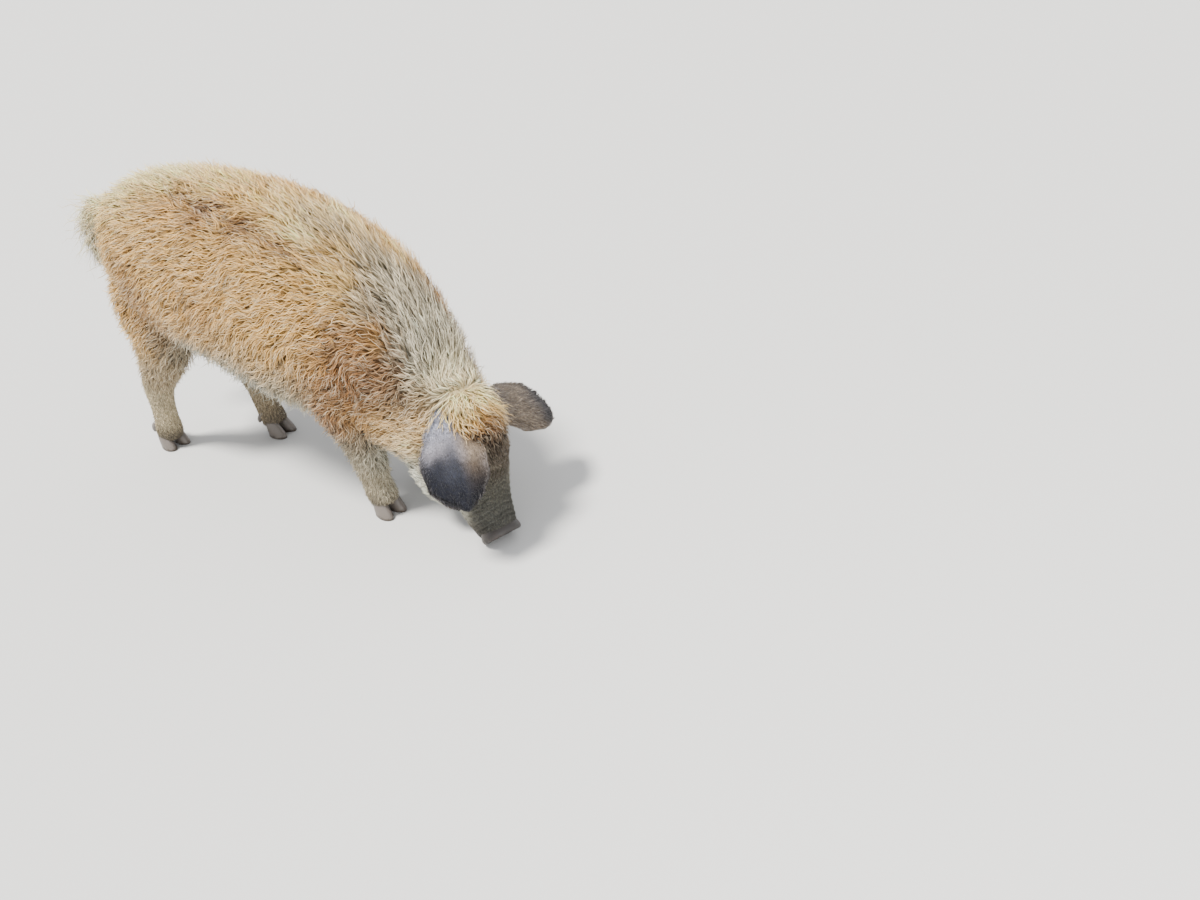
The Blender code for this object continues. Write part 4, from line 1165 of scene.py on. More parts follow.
def along_fur(group: Tree) -> bpy.types.NodeSocket:
    """Where a point lies on the skin, stretched down the legs and ears, and along the head.

    Args:
        group: The group that needs it.

    Returns:
        The socket that gives it.
    """
    where = node(group, "TexCoord")
    zone = node(group, "Attribute", attribute_name="Head")
    choose = node(group, "Mix", data_type="VECTOR")
    for socket, turn, stretch in (("A", (0, 0, 0), (1, 1, 9)), ("B", HEAD.to_euler(), (9, 1, 1))):
        mapping = node(group, "Mapping", {"Rotation": turn, "Scale": stretch}, vector_type="TEXTURE")
        link(group, (where, "Object", mapping, "Vector"), (mapping, "Vector", choose, socket))
    link(group, (zone, "Fac", choose, "Factor"))
    return choose.outputs["Result"]


@dataclass(frozen=True)
class Pattern:
    """A pattern that materials share: a stretched noise as a shade and a height, in a group built once."""

    name: str
    scale: float
    lead: Callable[[Tree], bpy.types.NodeSocket]
    dark: tuple[float, Sequence[float]]
    light: float

    def group(self) -> Tree:
        """Builds the group, or finds it where it is built.

        Returns:
            The group.
        """
        if self.name in bpy.data.node_groups:
            return bpy.data.node_groups[self.name]
        group = bpy.data.node_groups.new(self.name, "ShaderNodeTree")
        for socket, kind in (("Shade", "Color"), ("Height", "Float")):
            group.interface.new_socket(socket, in_out="OUTPUT", socket_type="NodeSocket" + kind)
        put = group.nodes.new("NodeGroupOutput")
        noise = node(group, "TexNoise", {"Scale": self.scale, "Detail": 2.0})
        ramp = graded(group, self.dark, (self.light, WHITE))
        group.links.new(self.lead(group), noise.inputs["Vector"])
        link(group, (noise, "Fac", ramp, "Fac"), (ramp, "Color", put, "Shade"), (noise, "Fac", put, "Height"))
        return group


STRANDS = Pattern("fine strands", 2.2, along_strand, (0.40, (0.50, 0.43, 0.35)), 0.58)
SHORT_FUR = Pattern("short fur", 620.0, along_fur, (0.38, (0.34, 0.31, 0.28)), 0.60)


@dataclass(frozen=True)
class HairFinish:
    """The finish of hair: its own colour from each point, broken into fine strands."""

    name: str
    roughness: float = 0.62
    gloss: float = 0.35
    streak: float = 0.76
    bump: float = 0.9

    def make(self) -> Finish:
        """Makes the material.

        Returns:
            The material.
        """
        values = {"Roughness": self.roughness, "Specular IOR Level": self.gloss}
        made, shader = fresh_material(self.name, values)
        tree = made.node_tree
        strands = node(tree, "Group", node_tree=STRANDS.group())
        tint = node(tree, "VertexColor", layer_name="Coat")
        mix = darkened(tree, self.streak, (tint, "Color"), (strands, "Shade"))
        bump = node(tree, "Bump", {"Strength": self.bump, "Distance": 0.001})
        link(tree, (mix, "Result", shader, "Base Color"), (strands, "Height", bump, "Height"),
             (bump, "Normal", shader, "Normal"))
        return made


@dataclass(frozen=True)
class SkinFinish:
    """The finish of skin: the coat's colour, mottled, with short fur or bare grain over it."""

    name: str
    roughness: float = 0.75
    grain: float = 260.0
    mottle: float = 0.35
    bump: float = 0.8
    fur: float = 0.75
    gloss: float = 0.25

    def make(self) -> Finish:
        """Makes the material.

        Returns:
            The material.
        """
        values = {"Roughness": self.roughness, "Specular IOR Level": self.gloss}
        made, shader = fresh_material(self.name, values)
        tree = made.node_tree
        tint = node(tree, "VertexColor", layer_name="Coat")
        where = node(tree, "TexCoord")
        fine = node(tree, "TexNoise", {"Scale": self.grain, "Detail": 3.0})
        broad = node(tree, "TexNoise", {"Scale": self.grain / 7, "Detail": 4.0})
        shade = graded(tree, (0.32, (0.45, 0.42, 0.40)), (0.68, WHITE))
        fur = node(tree, "Group", node_tree=SHORT_FUR.group())
        bump = node(tree, "Bump", {"Strength": self.bump, "Distance": 0.0015})
        link(tree, (where, "Object", fine, "Vector"), (where, "Object", broad, "Vector"),
             (broad, "Fac", shade, "Fac"))
        before = (tint, "Color")
        for factor, over in ((self.mottle, (shade, "Color")), (self.fur, (fur, "Shade"))):
            before = (darkened(tree, factor, before, over), "Result")
        height = (fur, "Height") if self.fur else (fine, "Fac")
        link(tree, (*before, shader, "Base Color"), (*height, bump, "Height"),
             (bump, "Normal", shader, "Normal"))
        return made


@dataclass
class Tufts:
    """Many tufts of hair, one row of each array for each tuft."""

    root: Array
    normal: Array
    way: Array
    length: Array
    width: Array
    wave: Array
    lift: Array
    stand: Array
    phase: Array
    base: Array
    tip: Array
    chart: Array

    def pick(self, rows: Array) -> "Tufts":
        """Some of the tufts."""
        return Tufts(**{key: value[rows] for key, value in vars(self).items()})

    def comb(
        self, surface: SurfaceTree, stations: int, wavelength: float, clump: float
    ) -> tuple[Array, Array]:
        """Lays every tuft along the surface.

        Args:
            surface: What they lie on.
            stations: Points along each tuft.
            wavelength: Length of one wave along a tuft.
            clump: How far the tips of neighbours draw together, from 0 to 1.

        Returns:
            The points of each tuft, and the surface's normal at each.
        """
        count = len(self.root)
        points = np.empty((count, stations, 3))
        normals = np.empty((count, stations, 3))
        points[:, 0], normals[:, 0] = self.root, self.normal
        step = self.length / (stations - 1)
        lie = laid(self.way, self.normal)
        for k in range(1, stations):
            normal = normals[:, k - 1]
            lie = laid(lie, normal)
            share = (k - 0.5) / (stations - 1)
            turn = np.radians(self.wave) * np.cos(self.phase + math.tau * share * self.length / wavelength)
            across = np.cross(normal, lie)
            head = lie * np.cos(turn)[:, None] + across * np.sin(turn)[:, None]
            spot, facing = surface.nearest(points[:, k - 1] + head * step[:, None])
            points[:, k] = spot
            blend = unit(facing + normal)
            normals[:, k] = np.where(np.sum(facing * normal, axis=1, keepdims=True) > 0.3, blend, normal)
        if clump:
            self.draw_together(points, clump)
        share = np.linspace(0, 1, stations)
        profile = np.sqrt(share)
        ripple = np.sin(self.phase[:, None] + math.tau * share * (self.length / wavelength)[:, None])
        rise = self.lift[:, None] * (profile + 0.12 * ripple * share * np.clip(self.wave / 40, 0, 1)[:, None])
        rise += np.tan(np.radians(self.stand))[:, None] * self.length[:, None] * share**1.4
        rise[:, 0] = -np.minimum(0.002, 0.06 * self.length)
        return points + normals * rise[..., None], normals

    def draw_together(self, points: Array, clump: float) -> None:
        """Pulls the tips of neighbouring tufts towards a leader's, so that they hang in strands.

        Args:
            points: The tufts' points, which are moved.
            clump: How far, from 0 to 1.
        """
        draw = np.random.default_rng(5)
        count = len(points)
        leaders = np.flatnonzero(draw.random(count) < 1 / 13)
        if len(leaders) < 2:
            return
        tree = KDTree(len(leaders))
        for i, leader in enumerate(leaders.tolist()):
            tree.insert(points[leader, 0], i)
        tree.balance()
        own = np.array([leaders[tree.find(point)[1]] for point in points[:, 0].tolist()])
        stations = points.shape[1]
        near = np.linalg.norm(points[own, 0] - points[:, 0], axis=1) < 0.03
        pull = clump * near * draw.uniform(0.5, 1.0, count)
        for k in range(1, stations):
            share = (k / (stations - 1)) ** 1.3
            points[:, k] += (points[own, k] - points[:, k]) * (pull * share)[:, None]

    def weave(self, name: str, points: Array, normals: Array, finish: Finish) -> Piece:
        """One joined mesh of three-sided, tapered tufts.

        Args:
            name: The piece's name.
            points: The points of each tuft.
            normals: The surface's normal at each.
            finish: The hair's material.

        Returns:
            The piece.
        """
        count, stations, _ = points.shape
        rings = stations - 1
        ahead = unit(np.gradient(points, axis=1))
        side = unit(np.cross(normals, ahead))
        over = np.cross(ahead, side)
        share = np.linspace(0, 1, stations)[:rings]
        broad = np.interp(share, (0, 0.25, 0.5, 0.8, 1), (0.60, 0.95, 1.0, 0.55, 0.0))
        half = (self.width[:, None] / 2 * broad[None, :])[..., None]
        middle, side, over = points[:, :rings], side[:, :rings] * half, over[:, :rings] * half
        low = middle - over * 0.14
        ring = np.stack([low - side, middle + over * 0.34, low + side], axis=2)
        per = rings * 3 + 1
        verts = np.concatenate([ring.reshape(count, -1, 3), points[:, -1:]], axis=1)
        last = (rings - 1) * 3
        turns = ((0, 1), (1, 2), (2, 0))
        faces = [(k + s, k + s + 3, k + t + 3, k + t) for k in range(0, last, 3) for s, t in turns]
        faces += [*((last + s, per - 1, last + t) for s, t in turns), (0, 1, 2)]
        loops = np.array([corner for face in faces for corner in face])
        sizes = np.array([len(face) for face in faces])
        mesh = self.mesh_from(name, verts, loops, sizes)
        share = np.append(np.repeat(share, 3), 1.0)
        self.dye(mesh, share)
        self.unwrap(mesh, share, loops)
        return shown(name, mesh, finish)

    @staticmethod
    def mesh_from(name: str, verts: Array, loops: Array, sizes: Array) -> Mesh:
        """Repeats the same faces for each tuft.

        Args:
            name: The piece's name.
            verts: The points of each tuft.
            loops: The corners of one tuft's faces.
            sizes: How many corners each of them has.

        Returns:
            The mesh.
        """
        count, per, _ = verts.shape
        mesh = bpy.data.meshes.new(name)
        mesh.vertices.add(count * per)
        mesh.vertices.foreach_set("co", (verts - np.array(ORIGIN)).ravel())
        every = (loops[None, :] + np.arange(count)[:, None] * per).ravel()
        mesh.loops.add(len(every))
        mesh.loops.foreach_set("vertex_index", every.astype(np.int32))
        starts = np.concatenate([[0], np.cumsum(np.tile(sizes, count))[:-1]])
        mesh.polygons.add(len(starts))
        mesh.polygons.foreach_set("loop_start", starts.astype(np.int32))
        mesh.update(calc_edges=True)
        mesh.shade_smooth()
        return mesh

    def dye(self, mesh: Mesh, share: Array) -> None:
        """Colours each tuft from its root to its tip, its root darkened as painted shade deep in the coat.

        Args:
            mesh: The mesh.
            share: How far along its tuft each point is.
        """
        fine = len(share) > 10
        # Painted shade: the root is darker, as if shaded by the coat over it.
        dark = self.base * ((0.54, 0.46, 0.38) if fine else 0.75)
        root, end = rising(share, 0.45, -0.45)[None, :, None], rising(share, 0.35, 0.65)[None, :, None]
        colours = blended(self.base[:, None], dark[:, None], root)
        paint(mesh, blended(colours, self.tip[:, None], end).reshape(-1, 3))

    def unwrap(self, mesh: Mesh, share: Array, loops: Array) -> None:
        """Lays a map along each tuft, and a small patch at its root's place on the body's unwrap.

        Args:
            mesh: The mesh.
            share: How far along its tuft each point is.
            loops: The corners of one tuft's faces.
        """
        across = np.append(np.tile((0.0, 0.5, 1.0), len(share) // 3), 0.5)
        flat = np.stack([across, share], axis=1)
        sizes = np.stack([self.width / 0.004, self.length / 0.02], axis=1)
        strand = flat[None] * sizes[:, None] + self.phase[:, None, None] * 7.3
        patch = self.chart[:, None, :] + (flat[None] - 0.5) * BAKE_PATCH
        for name, values in (("OFBake", patch), ("Strand", strand)):
            layer = mesh.uv_layers.new(name=name)
            layer.uv.foreach_set("vector", values[:, loops].ravel())


class Region(Enum):
    """The pieces that the coat is kept in."""

    RUMP_LEFT = "rump_left"
    RUMP_RIGHT = "rump_right"
    FLANK_LEFT = "flank_left"
    FLANK_RIGHT = "flank_right"
    SHOULDER_LEFT = "shoulder_left"
    SHOULDER_RIGHT = "shoulder_right"
    NECK = "neck"
    HEAD = "head"
    FACE = "face"
    LEGS = "legs"
    TAIL = "tail"


class Layer(NamedTuple):
    """One layer of tufts, on the places where the growth is long, or where it is short.

    limit is how many it may have at most, stations the points along each, wavelength its waves' length in
    metres, clump how far the tips draw together, and broad, deep and shade its width, lift and brightness
    against the growth's. A shade under 1 is painted shade, dimming a layer as if the coat above shaded it.
    """

    name: str
    long: bool
    limit: int
    stations: int
    wavelength: float
    clump: float
    broad: float = 1.0
    deep: float = 1.0
    shade: float = 1.0


@dataclass
class Coat:
    """The tufts over the whole skin: a dense undercoat, long locks, and the short hair of face and legs.

    cover is how many times over the tufts cover the skin, rear the last place that a hair may reach, plan the
    growth and colours, and bare the places without hair, each with its radius.
    """

    cover: float = 2.6
    layers: tuple[Layer, ...] = (
        # The undercoat's 0.58 is painted shade, as if in the shadow of the long locks.
        Layer("under", True, 12000, 3, 0.060, 0.0, 4.0, 0.52, 0.58),
        Layer("long", True, 36000, 6, 0.042, 0.34, 0.84),
        Layer("short", False, 25500, 3, 0.030, 0.15),
    )
    seed: int = 3
    rear: float = -0.250
    plan: CoatField = field(default_factory=CoatField.whole)
    bare: list[tuple[Vector, float]] = field(default_factory=list)

    def roots(self, skin: Mesh, draw: np.random.Generator, layer: Layer) -> tuple[Array, Array]:
        """Random places on the skin, closer together where the tufts are small.

        Args:
            skin: The skin.
            draw: The source of chance.
            layer: The layer that they are for.

        Returns:
            The places and the skin's normals there.
        """
        corners, normals, area = triangles_of(skin)
        a, b, c = corners.swapaxes(0, 1)
        centre = (a + b + c) / 3
        _, sizes = self.plan.grow(centre)
        wanted = area * self.cover / (sizes[:, 0] * sizes[:, 1] * layer.broad * 0.62)
        is_long = sizes[:, 0] > 0.030
        wanted *= is_long if layer.long else ~is_long
        wanted *= self.haired(centre) * (1 + 1.6 * self.parted(centre) + 2.5 * (centre[:, 0] < -0.03))
        total = wanted.sum()
        count = int(min(total, layer.limit))
        LOG.info("  %s tufts wanted %d, made %d", layer.name, total, count)
        chosen = draw.choice(len(area), size=count, p=wanted / total)
        u, v = draw.random(count), draw.random(count)
        flip = u + v > 1
        u[flip], v[flip] = 1 - u[flip], 1 - v[flip]
        spots = a[chosen] + (b - a)[chosen] * u[:, None] + (c - a)[chosen] * v[:, None]
        first, second, third = normals[chosen].swapaxes(0, 1)
        facing = unit(first * (1 - u - v)[:, None] + second * u[:, None] + third * v[:, None])
        return spots, facing

    @staticmethod
    def parted(points: Array) -> Array:
        """How near each point is to the parting behind the poll, from 0 to 1."""
        away = np.linalg.norm(into_head(points) - np.array((-0.075, 0.0, 0.075)), axis=1)
        return hump(away, 0.0, 0.040)

    def haired(self, points: Array) -> Array:
        """Tells where hair grows and where the skin is bare or hidden.

        Args:
            points: Points of the animal.

        Returns:
            1 or 0 for each.
        """
        head = into_head(points)
        front = (head[:, 0] > 0.268) & (points[:, 0] > 1.1)
        low = head[:, 2] - Flesh.mouth_height(head[:, 0])
        front |= (np.abs(low) < 0.0052) & (head[:, 0] > 0.125) & (points[:, 0] > 1.05)
        soles = points[:, 2] < 0.036
        keep = ~(front | soles)
        for at, radius in self.bare:
            keep &= np.linalg.norm(points - np.array(at), axis=1) > radius
        return keep.astype(float)

    def tufts(self, skin: Mesh, draw: np.random.Generator, row: Layer) -> Tufts:
        """Grows the tufts of one layer, not yet laid.

        Args:
            skin: The skin.
            draw: The source of chance.
            row: The layer.

        Returns:
            The tufts, with their sizes and colours.
        """
        spots, facing = self.roots(skin, draw, row)
        count = len(spots)
        ways, sizes = self.plan.grow(spots)
        length, width, wave, lift, stand = sizes.T
        phase = 4.2 * swell(spots, 10.0, 0.7) + draw.normal(0, 0.75, count)
        seen = spots + laid(ways, facing) * (0.45 * length)[:, None]
        tint, fleck = self.plan.colour(seen + draw.normal(0, 0.005, (count, 3)))
        patch = 1.0 + 0.10 * swell(spots, 38.0, 2.2) + 0.06 * swell(spots, 90.0, 0.4)
        tint = tint * (patch * np.exp(np.clip(draw.normal(0, 1, count), -2, 1.3) * fleck))[:, None]
        tint = np.minimum(tint, 0.93)
        pale = linear((250, 238, 212))
        blend = (draw.random(count) ** 1.6 * 0.85)[:, None] * np.clip(length / 0.04, 0.10, 1)[:, None]
        loose = draw.random(count) < 0.06
        hanging = spots[:, 0] < -0.04
        own = draw.normal(0, 1, count) * np.where(loose, 0.60, np.where(hanging, 0.38, 0.22))
        ways = self.swirled(spots, facing, ways, wave, own)
        depth = 1.0 - 0.75 * draw.random(count) ** 1.6
        stand = np.clip(stand * 0.5 + draw.normal(0, 4.0, count) * (1 + 1.5 * hanging) + 14 * loose, 0, 48)
        if row.name == "under":
            blend, stand, wave = blend * 0.2, stand * 0.3, wave * 0.6
        # Painted shade: each layer's shade dims its tufts, the undercoat most, and tufts that lie low in the
        # coat are dimmer.
        return Tufts(
            root=spots, normal=facing, way=ways, length=length * draw.uniform(0.75, 1.2, count),
            width=width * row.broad * draw.uniform(0.75, 1.2, count),
            wave=wave * draw.uniform(0.7, 1.3, count), lift=lift * depth * row.deep, stand=stand, phase=phase,
            base=tint * row.shade * (0.80 + 0.20 * depth)[:, None],
            tip=blended(tint, pale, blend) * row.shade, chart=Chart().lay(spots))

    @staticmethod
    def swirled(spots: Array, facing: Array, ways: Array, wave: Array, own: Array) -> Array:
        """The lie turned a little from place to place, most where the coat is curly.

        Args:
            spots: The tufts' roots.
            facing: The skin's normals there.
            ways: The lie.
            wave: The tufts' wave in degrees.
            own: Each tuft's own turn in radians.

        Returns:
            The turned lie.
        """
        lie = laid(ways, facing)
        drift = swell(spots, 17.0, 5.1) + 0.6 * swell(spots, 37.0, 1.4)
        turn = own + 0.60 * rising(wave, 15, 35) * drift
        return lie * np.cos(turn)[:, None] + np.cross(facing, lie) * np.sin(turn)[:, None]

    @staticmethod
    def painted_shade_under_coat(points: Array) -> Array:
        """How bright the skin is painted against the coat: painted shade, dimmer where the coat is deep.

        Args:
            points: Points of the animal.

        Returns:
            The brightness at each.
        """
        head = into_head(points)
        face = rising(head[:, 0], 0.06, 0.04) * (points[:, 0] > FACE_X)
        legs = rising(points[:, 2], 0.24, -0.06) * (points[:, 0] < 0.90)
        return 0.45 + 0.37 * np.maximum(face, legs)

    @staticmethod
    def region(points: Array) -> Array:
        """Tells which region each point is in.

        Args:
            points: Points of the animal.

        Returns:
            The region's place in the Enum.
        """
        order = list(Region)
        x, y, z = points.T
        head = into_head(points)
        made = np.full(len(points), order.index(Region.FLANK_LEFT))
        for region, inside in (
            (Region.FLANK_RIGHT, y < 0),
            (Region.RUMP_LEFT, (x < 0.20) & (y >= 0)),
            (Region.RUMP_RIGHT, (x < 0.20) & (y < 0)),
            (Region.SHOULDER_LEFT, (x > 0.56) & (y >= 0)),
            (Region.SHOULDER_RIGHT, (x > 0.56) & (y < 0)),
            (Region.NECK, x > 0.87),
            (Region.HEAD, (head[:, 0] > -0.06) & (x > FACE_X)),
            (Region.FACE, (head[:, 0] > 0.09) & (x > FACE_X)),
            (Region.LEGS, (z < 0.22) & (x < 0.92)),
            (Region.TAIL, x < -0.02),
        ):
            made[inside] = order.index(region)
        return made

    def build(self, skin: Piece, surface: SurfaceTree, finish: Finish) -> list[Piece]:
        """Builds all the pieces of the coat.

        Args:
            skin: The skin.
            surface: The skin's tree.
            finish: The hair's material.

        Returns:
            The pieces.
        """
        made = []
        for order, layer in enumerate(self.layers):
            draw = np.random.default_rng(self.seed + order)
            tufts = self.tufts(skin.data, draw, layer)
            points, normals = tufts.comb(surface, layer.stations, layer.wavelength, layer.clump)
            points[..., 0] = np.maximum(points[..., 0], self.rear)
            where = self.region(tufts.root)
            if layer.name == "under":
                where = np.where(tufts.root[:, 1] > 0, 0, 1)
            for number, region in enumerate(Region):
                rows = np.flatnonzero(where == number)
                if len(rows) < 5:
                    continue
                name = f"coat_{region.value}_{layer.name}"
                made.append(tufts.pick(rows).weave(name, points[rows], normals[rows], finish))
        return made


@dataclass
class EyePair:
    """The eyeballs with their lids and lashes, and the bare skin round them."""

    radius: float = 0.0135
    bare: float = 0.0188
    sunk: float = 0.58
    lid_wide: float = 0.0122
    lid_up: float = 0.0076
    lid_down: float = 0.0064

    @staticmethod
    def hollow(head: Array, side: int) -> Array:
        """How far the skin round an eye rises, in the head's frame.

        Args:
            head: Points in the head's frame.
            side: 1 for the left and -1 for the right.

        Returns:
            The rise at each.
        """
        at = np.array((0.101, 0.067 * side, 0.030))
        away = np.linalg.norm(head - at, axis=1)
        up = head[:, 0] < at[0]
        made = -0.0035 * hump(away, 0.0, 0.016)
        made += 0.0030 * hump(away, 0.026, 0.006) * np.where(up, 1.0, 0.3)
        made += 0.0012 * hump(away, 0.024, 0.0028) * ~up
        made += 0.0010 * hump(away, 0.033, 0.0030) * ~up
        return made

    def frames(self, surface: SurfaceTree) -> dict[int, Matrix]:
        """Finds the eyeballs' frames, with x to the snout along the face and z out.

        Args:
            surface: The skin's tree.

        Returns:
            The frame for each side.
        """
        made = {}
        for side in (-1, 1):
            start = HEAD @ Vector((0.098, 0.03 * side, 0.020))
            hit, normal = surface.ray(start, HEAD.to_3x3() @ Vector((0.15, side, 0.42)))
            along = (HEAD_ALONG - normal * HEAD_ALONG.dot(normal)).normalized()
            turn = Matrix((along, normal.cross(along), normal)).transposed().to_4x4()
            made[side] = Matrix.Translation(hit - normal * self.radius * self.sunk) @ turn
        return made

    def eyeball(self, name: str, turn: Matrix, finish: Finish) -> Piece:
        """Builds a ball with a raised cornea.

        Args:
            name: The piece's name.
            turn: The eye's frame.
            finish: The eye's material.

        Returns:
            The ball.
        """
        bm = bmesh.new()
        bmesh.ops.create_uvsphere(bm, u_segments=48, v_segments=32, radius=self.radius)
        iris = self.radius * 0.62
        for vert in bm.verts:
            across = math.hypot(vert.co.x, vert.co.y)
            if vert.co.z > 0 and across < iris:
                vert.co.z += 0.0009 * math.cos(across / iris * math.pi / 2)
        shades = []
        pupil, brown, white = ((5, 4, 4), (34, 21, 13), (70, 54, 46))
        for vert in bm.verts:
            across = math.hypot(vert.co.x, vert.co.y) / self.radius if vert.co.z > 0 else 1.0
            shades.append(linear(pupil if across < 0.34 else brown if across < 0.70 else white))
        bm.transform(turn)
        ball = mesh_object(name, bm, finish)
        paint(ball.data, np.array(shades))
        return ball

    def lid(self, name: str, turn: Matrix, finish: Finish) -> Piece:
        """Builds a closed ring of skin round an almond opening.

        Args:
            name: The piece's name.
            turn: The eye's frame.
            finish: The skin's material.

        Returns:
            The lid.
        """
        ball = self.radius

        def dome(away: float, rise: float) -> float:
            """Height over the eyeball's middle."""
            return math.sqrt(max((ball + rise) ** 2 - away**2, 0.0)) if away < ball else rise - 0.001

        def place(u: float, v: float) -> Vector:
            """The point on the lid.

            Args:
                u: The place round the eye.
                v: The place round the lid's own section.

            Returns:
                The point.
            """
            c, s = math.cos(math.tau * u), math.sin(math.tau * u)
            tall = self.lid_up if s > 0 else self.lid_down
            inner = Vector((c * self.lid_wide, s * tall * (1 - 0.25 * abs(c) ** 3)))
            outer = Vector((c * 0.0205, s * 0.0185))
            rows = ((0.0, 0.0002), (0.02, 0.0016), (0.12, 0.0024), (0.34, 0.0020), (0.62, 0.0008),
                    (1.0, -0.0030), (0.70, -0.0040), (0.30, -0.0022), (0.0, 0.0002))
            out, rise = along_rows(rows, v)
            flat = inner + (outer - inner) * out
            base = dome(min(flat.length, ball * 0.985), rise)
            settle = self.radius * self.sunk + rise
            height = base * (1 - out**1.2) + settle * out**1.2
            return Vector((flat.x, flat.y, height))

        bm = draped(64, 24, place)
        bm.transform(turn)
        lid = mesh_object(name, bm, finish)
        points, _ = corners_of(lid.data)
        local = (points - np.array(turn.translation)) @ np.array(turn.to_3x3())
        out = np.hypot(local[:, 0] / 0.0175, local[:, 1] / 0.0145)
        rim = rising(out, 0.86, -0.20)[:, None]
        paint(lid.data, blended(linear((92, 76, 60)), linear((40, 31, 26)), rim), headed=True)
        return lid

    def lashes(self, name: str, turn: Matrix, finish: Finish) -> Piece:
        """Sets pale lashes along the upper lid.

        Args:
            name: The piece's name.
            turn: The eye's frame.
            finish: The hair's material.

        Returns:
            The lashes.
        """
        count = 26
        draw = np.random.default_rng(8)
        angle = draw.uniform(0.10, 0.90, count) * math.pi
        wide, tall = self.lid_wide + 0.0012, self.lid_up + 0.0012
        c, s, one = np.cos(angle), np.sin(angle), np.ones(count)
        local = np.stack([c * wide, s * tall, one * (self.radius * 0.86)], axis=1)
        way = np.stack([c * 0.5, one * 0.75, one * 0.65], axis=1)
        turned = np.array(turn.to_3x3())
        root = local @ turned.T + np.array(turn.translation)
        way = unit((way + draw.normal(0, 0.12, (count, 3))) @ turned.T)
        share = np.linspace(0, 1, 5)
        length = draw.uniform(0.008, 0.012, count)
        points = root[:, None] + way[:, None] * (length[:, None] * share)[..., None]
        points[..., 2] -= (share**2 * 0.004)[None]
        normals = np.tile(turned[:, 2], (count, 5, 1))
        tint = np.tile(linear((160, 140, 112)), (count, 1))
        blank = np.zeros(count)
        tufts = Tufts(root, normals[:, 0], way, length, np.full(count, 0.0005), blank, blank, blank,
                      draw.uniform(0, 6, count), tint * 0.8, tint, draw.random((count, 2)))
        return tufts.weave(name, points, normals, finish)


@dataclass
class SnoutDisc:
    """The bare tough disc at the end of the snout, with its two nostrils."""

    at: Vector = field(default_factory=lambda: Vector((0.277, 0.0, -0.049)))
    wide: float = 0.0535
    tall: float = 0.0465
    thick: float = 0.020
    tilt: float = -8.0
    nostril_at: float = 0.0190
    nostril_wide: float = 0.0078
    nostril_tall: float = 0.0112

    def build(self, finish: Finish) -> Piece:
        """Builds a domed plate with a rolled rim, its nostrils pressed in.

        Args:
            finish: The bare skin's material.

        Returns:
            The disc.
        """
        profile = ((0.0, -0.0005), (0.28, -0.0003), (0.55, 0.0004), (0.78, 0.0014), (0.90, 0.0012),
                   (0.965, -0.0012), (0.995, -0.0050), (1.0, -0.0090), (0.975, -0.0150), (0.93, -0.0220),
                   (0.87, -0.0290), (0.80, -0.0340), (0.0, -0.0340))

        def place(u: float, v: float) -> Vector:
            """The point on the disc.

            Args:
                u: The place round it.
                v: The place from its middle over the rim to the back.

            Returns:
                The point.
            """
            angle = math.tau * u
            out, x = along_rows(profile, v)
            c, s = math.cos(angle), math.sin(angle)
            notch = 1 - 0.06 * math.exp(-(((angle - math.pi / 2) / 0.3) ** 2))
            y, z = c * self.wide * out, s * self.tall * out * notch
            if v < 0.5:
                for side in (-1, 1):
                    away = math.hypot((y - self.nostril_at * side) / self.nostril_wide,
                                      (z - 0.004) / self.nostril_tall)
                    x -= 0.012 / (1 + away**6) - 0.0022 * math.exp(-(((away - 1.35) / 0.3) ** 2))
                x += 0.0009 * math.sin(z * 420 + y * 160) * out
            return Vector((x + self.thick / 2, y, z))

        bm = draped(96, 72, place)
        turn = Matrix.Rotation(math.radians(self.tilt), 4, "Y")
        bm.transform(HEAD @ Matrix.Translation(self.at) @ turn)
        for vert in bm.verts:
            vert.co.z = max(vert.co.z, CLEAR)
        disc = mesh_object("snout_disc", bm, finish)
        points, _ = corners_of(disc.data)
        head = into_head(points)
        # Painted shade: the nostrils' hollows are darkened.
        away = np.hypot((np.abs(head[:, 1]) - self.nostril_at) / self.nostril_wide,
                        (head[:, 2] + 0.046) / self.nostril_tall)
        deep = rising(away, 1.25, -0.4) * (head[:, 0] > 0.262)
        # The disc's dark colours are partly mud and partly painted shade at the snout's end, mottled at
        # random.
        mud = 0.5 + 0.35 * swell(points, 60.0, 1.3)[:, None]
        tint = blended(linear((56, 48, 44))[None], linear((31, 27, 24))[None], mud)
        paint(disc.data, tint * (1 - 0.85 * deep[:, None]))
        return disc


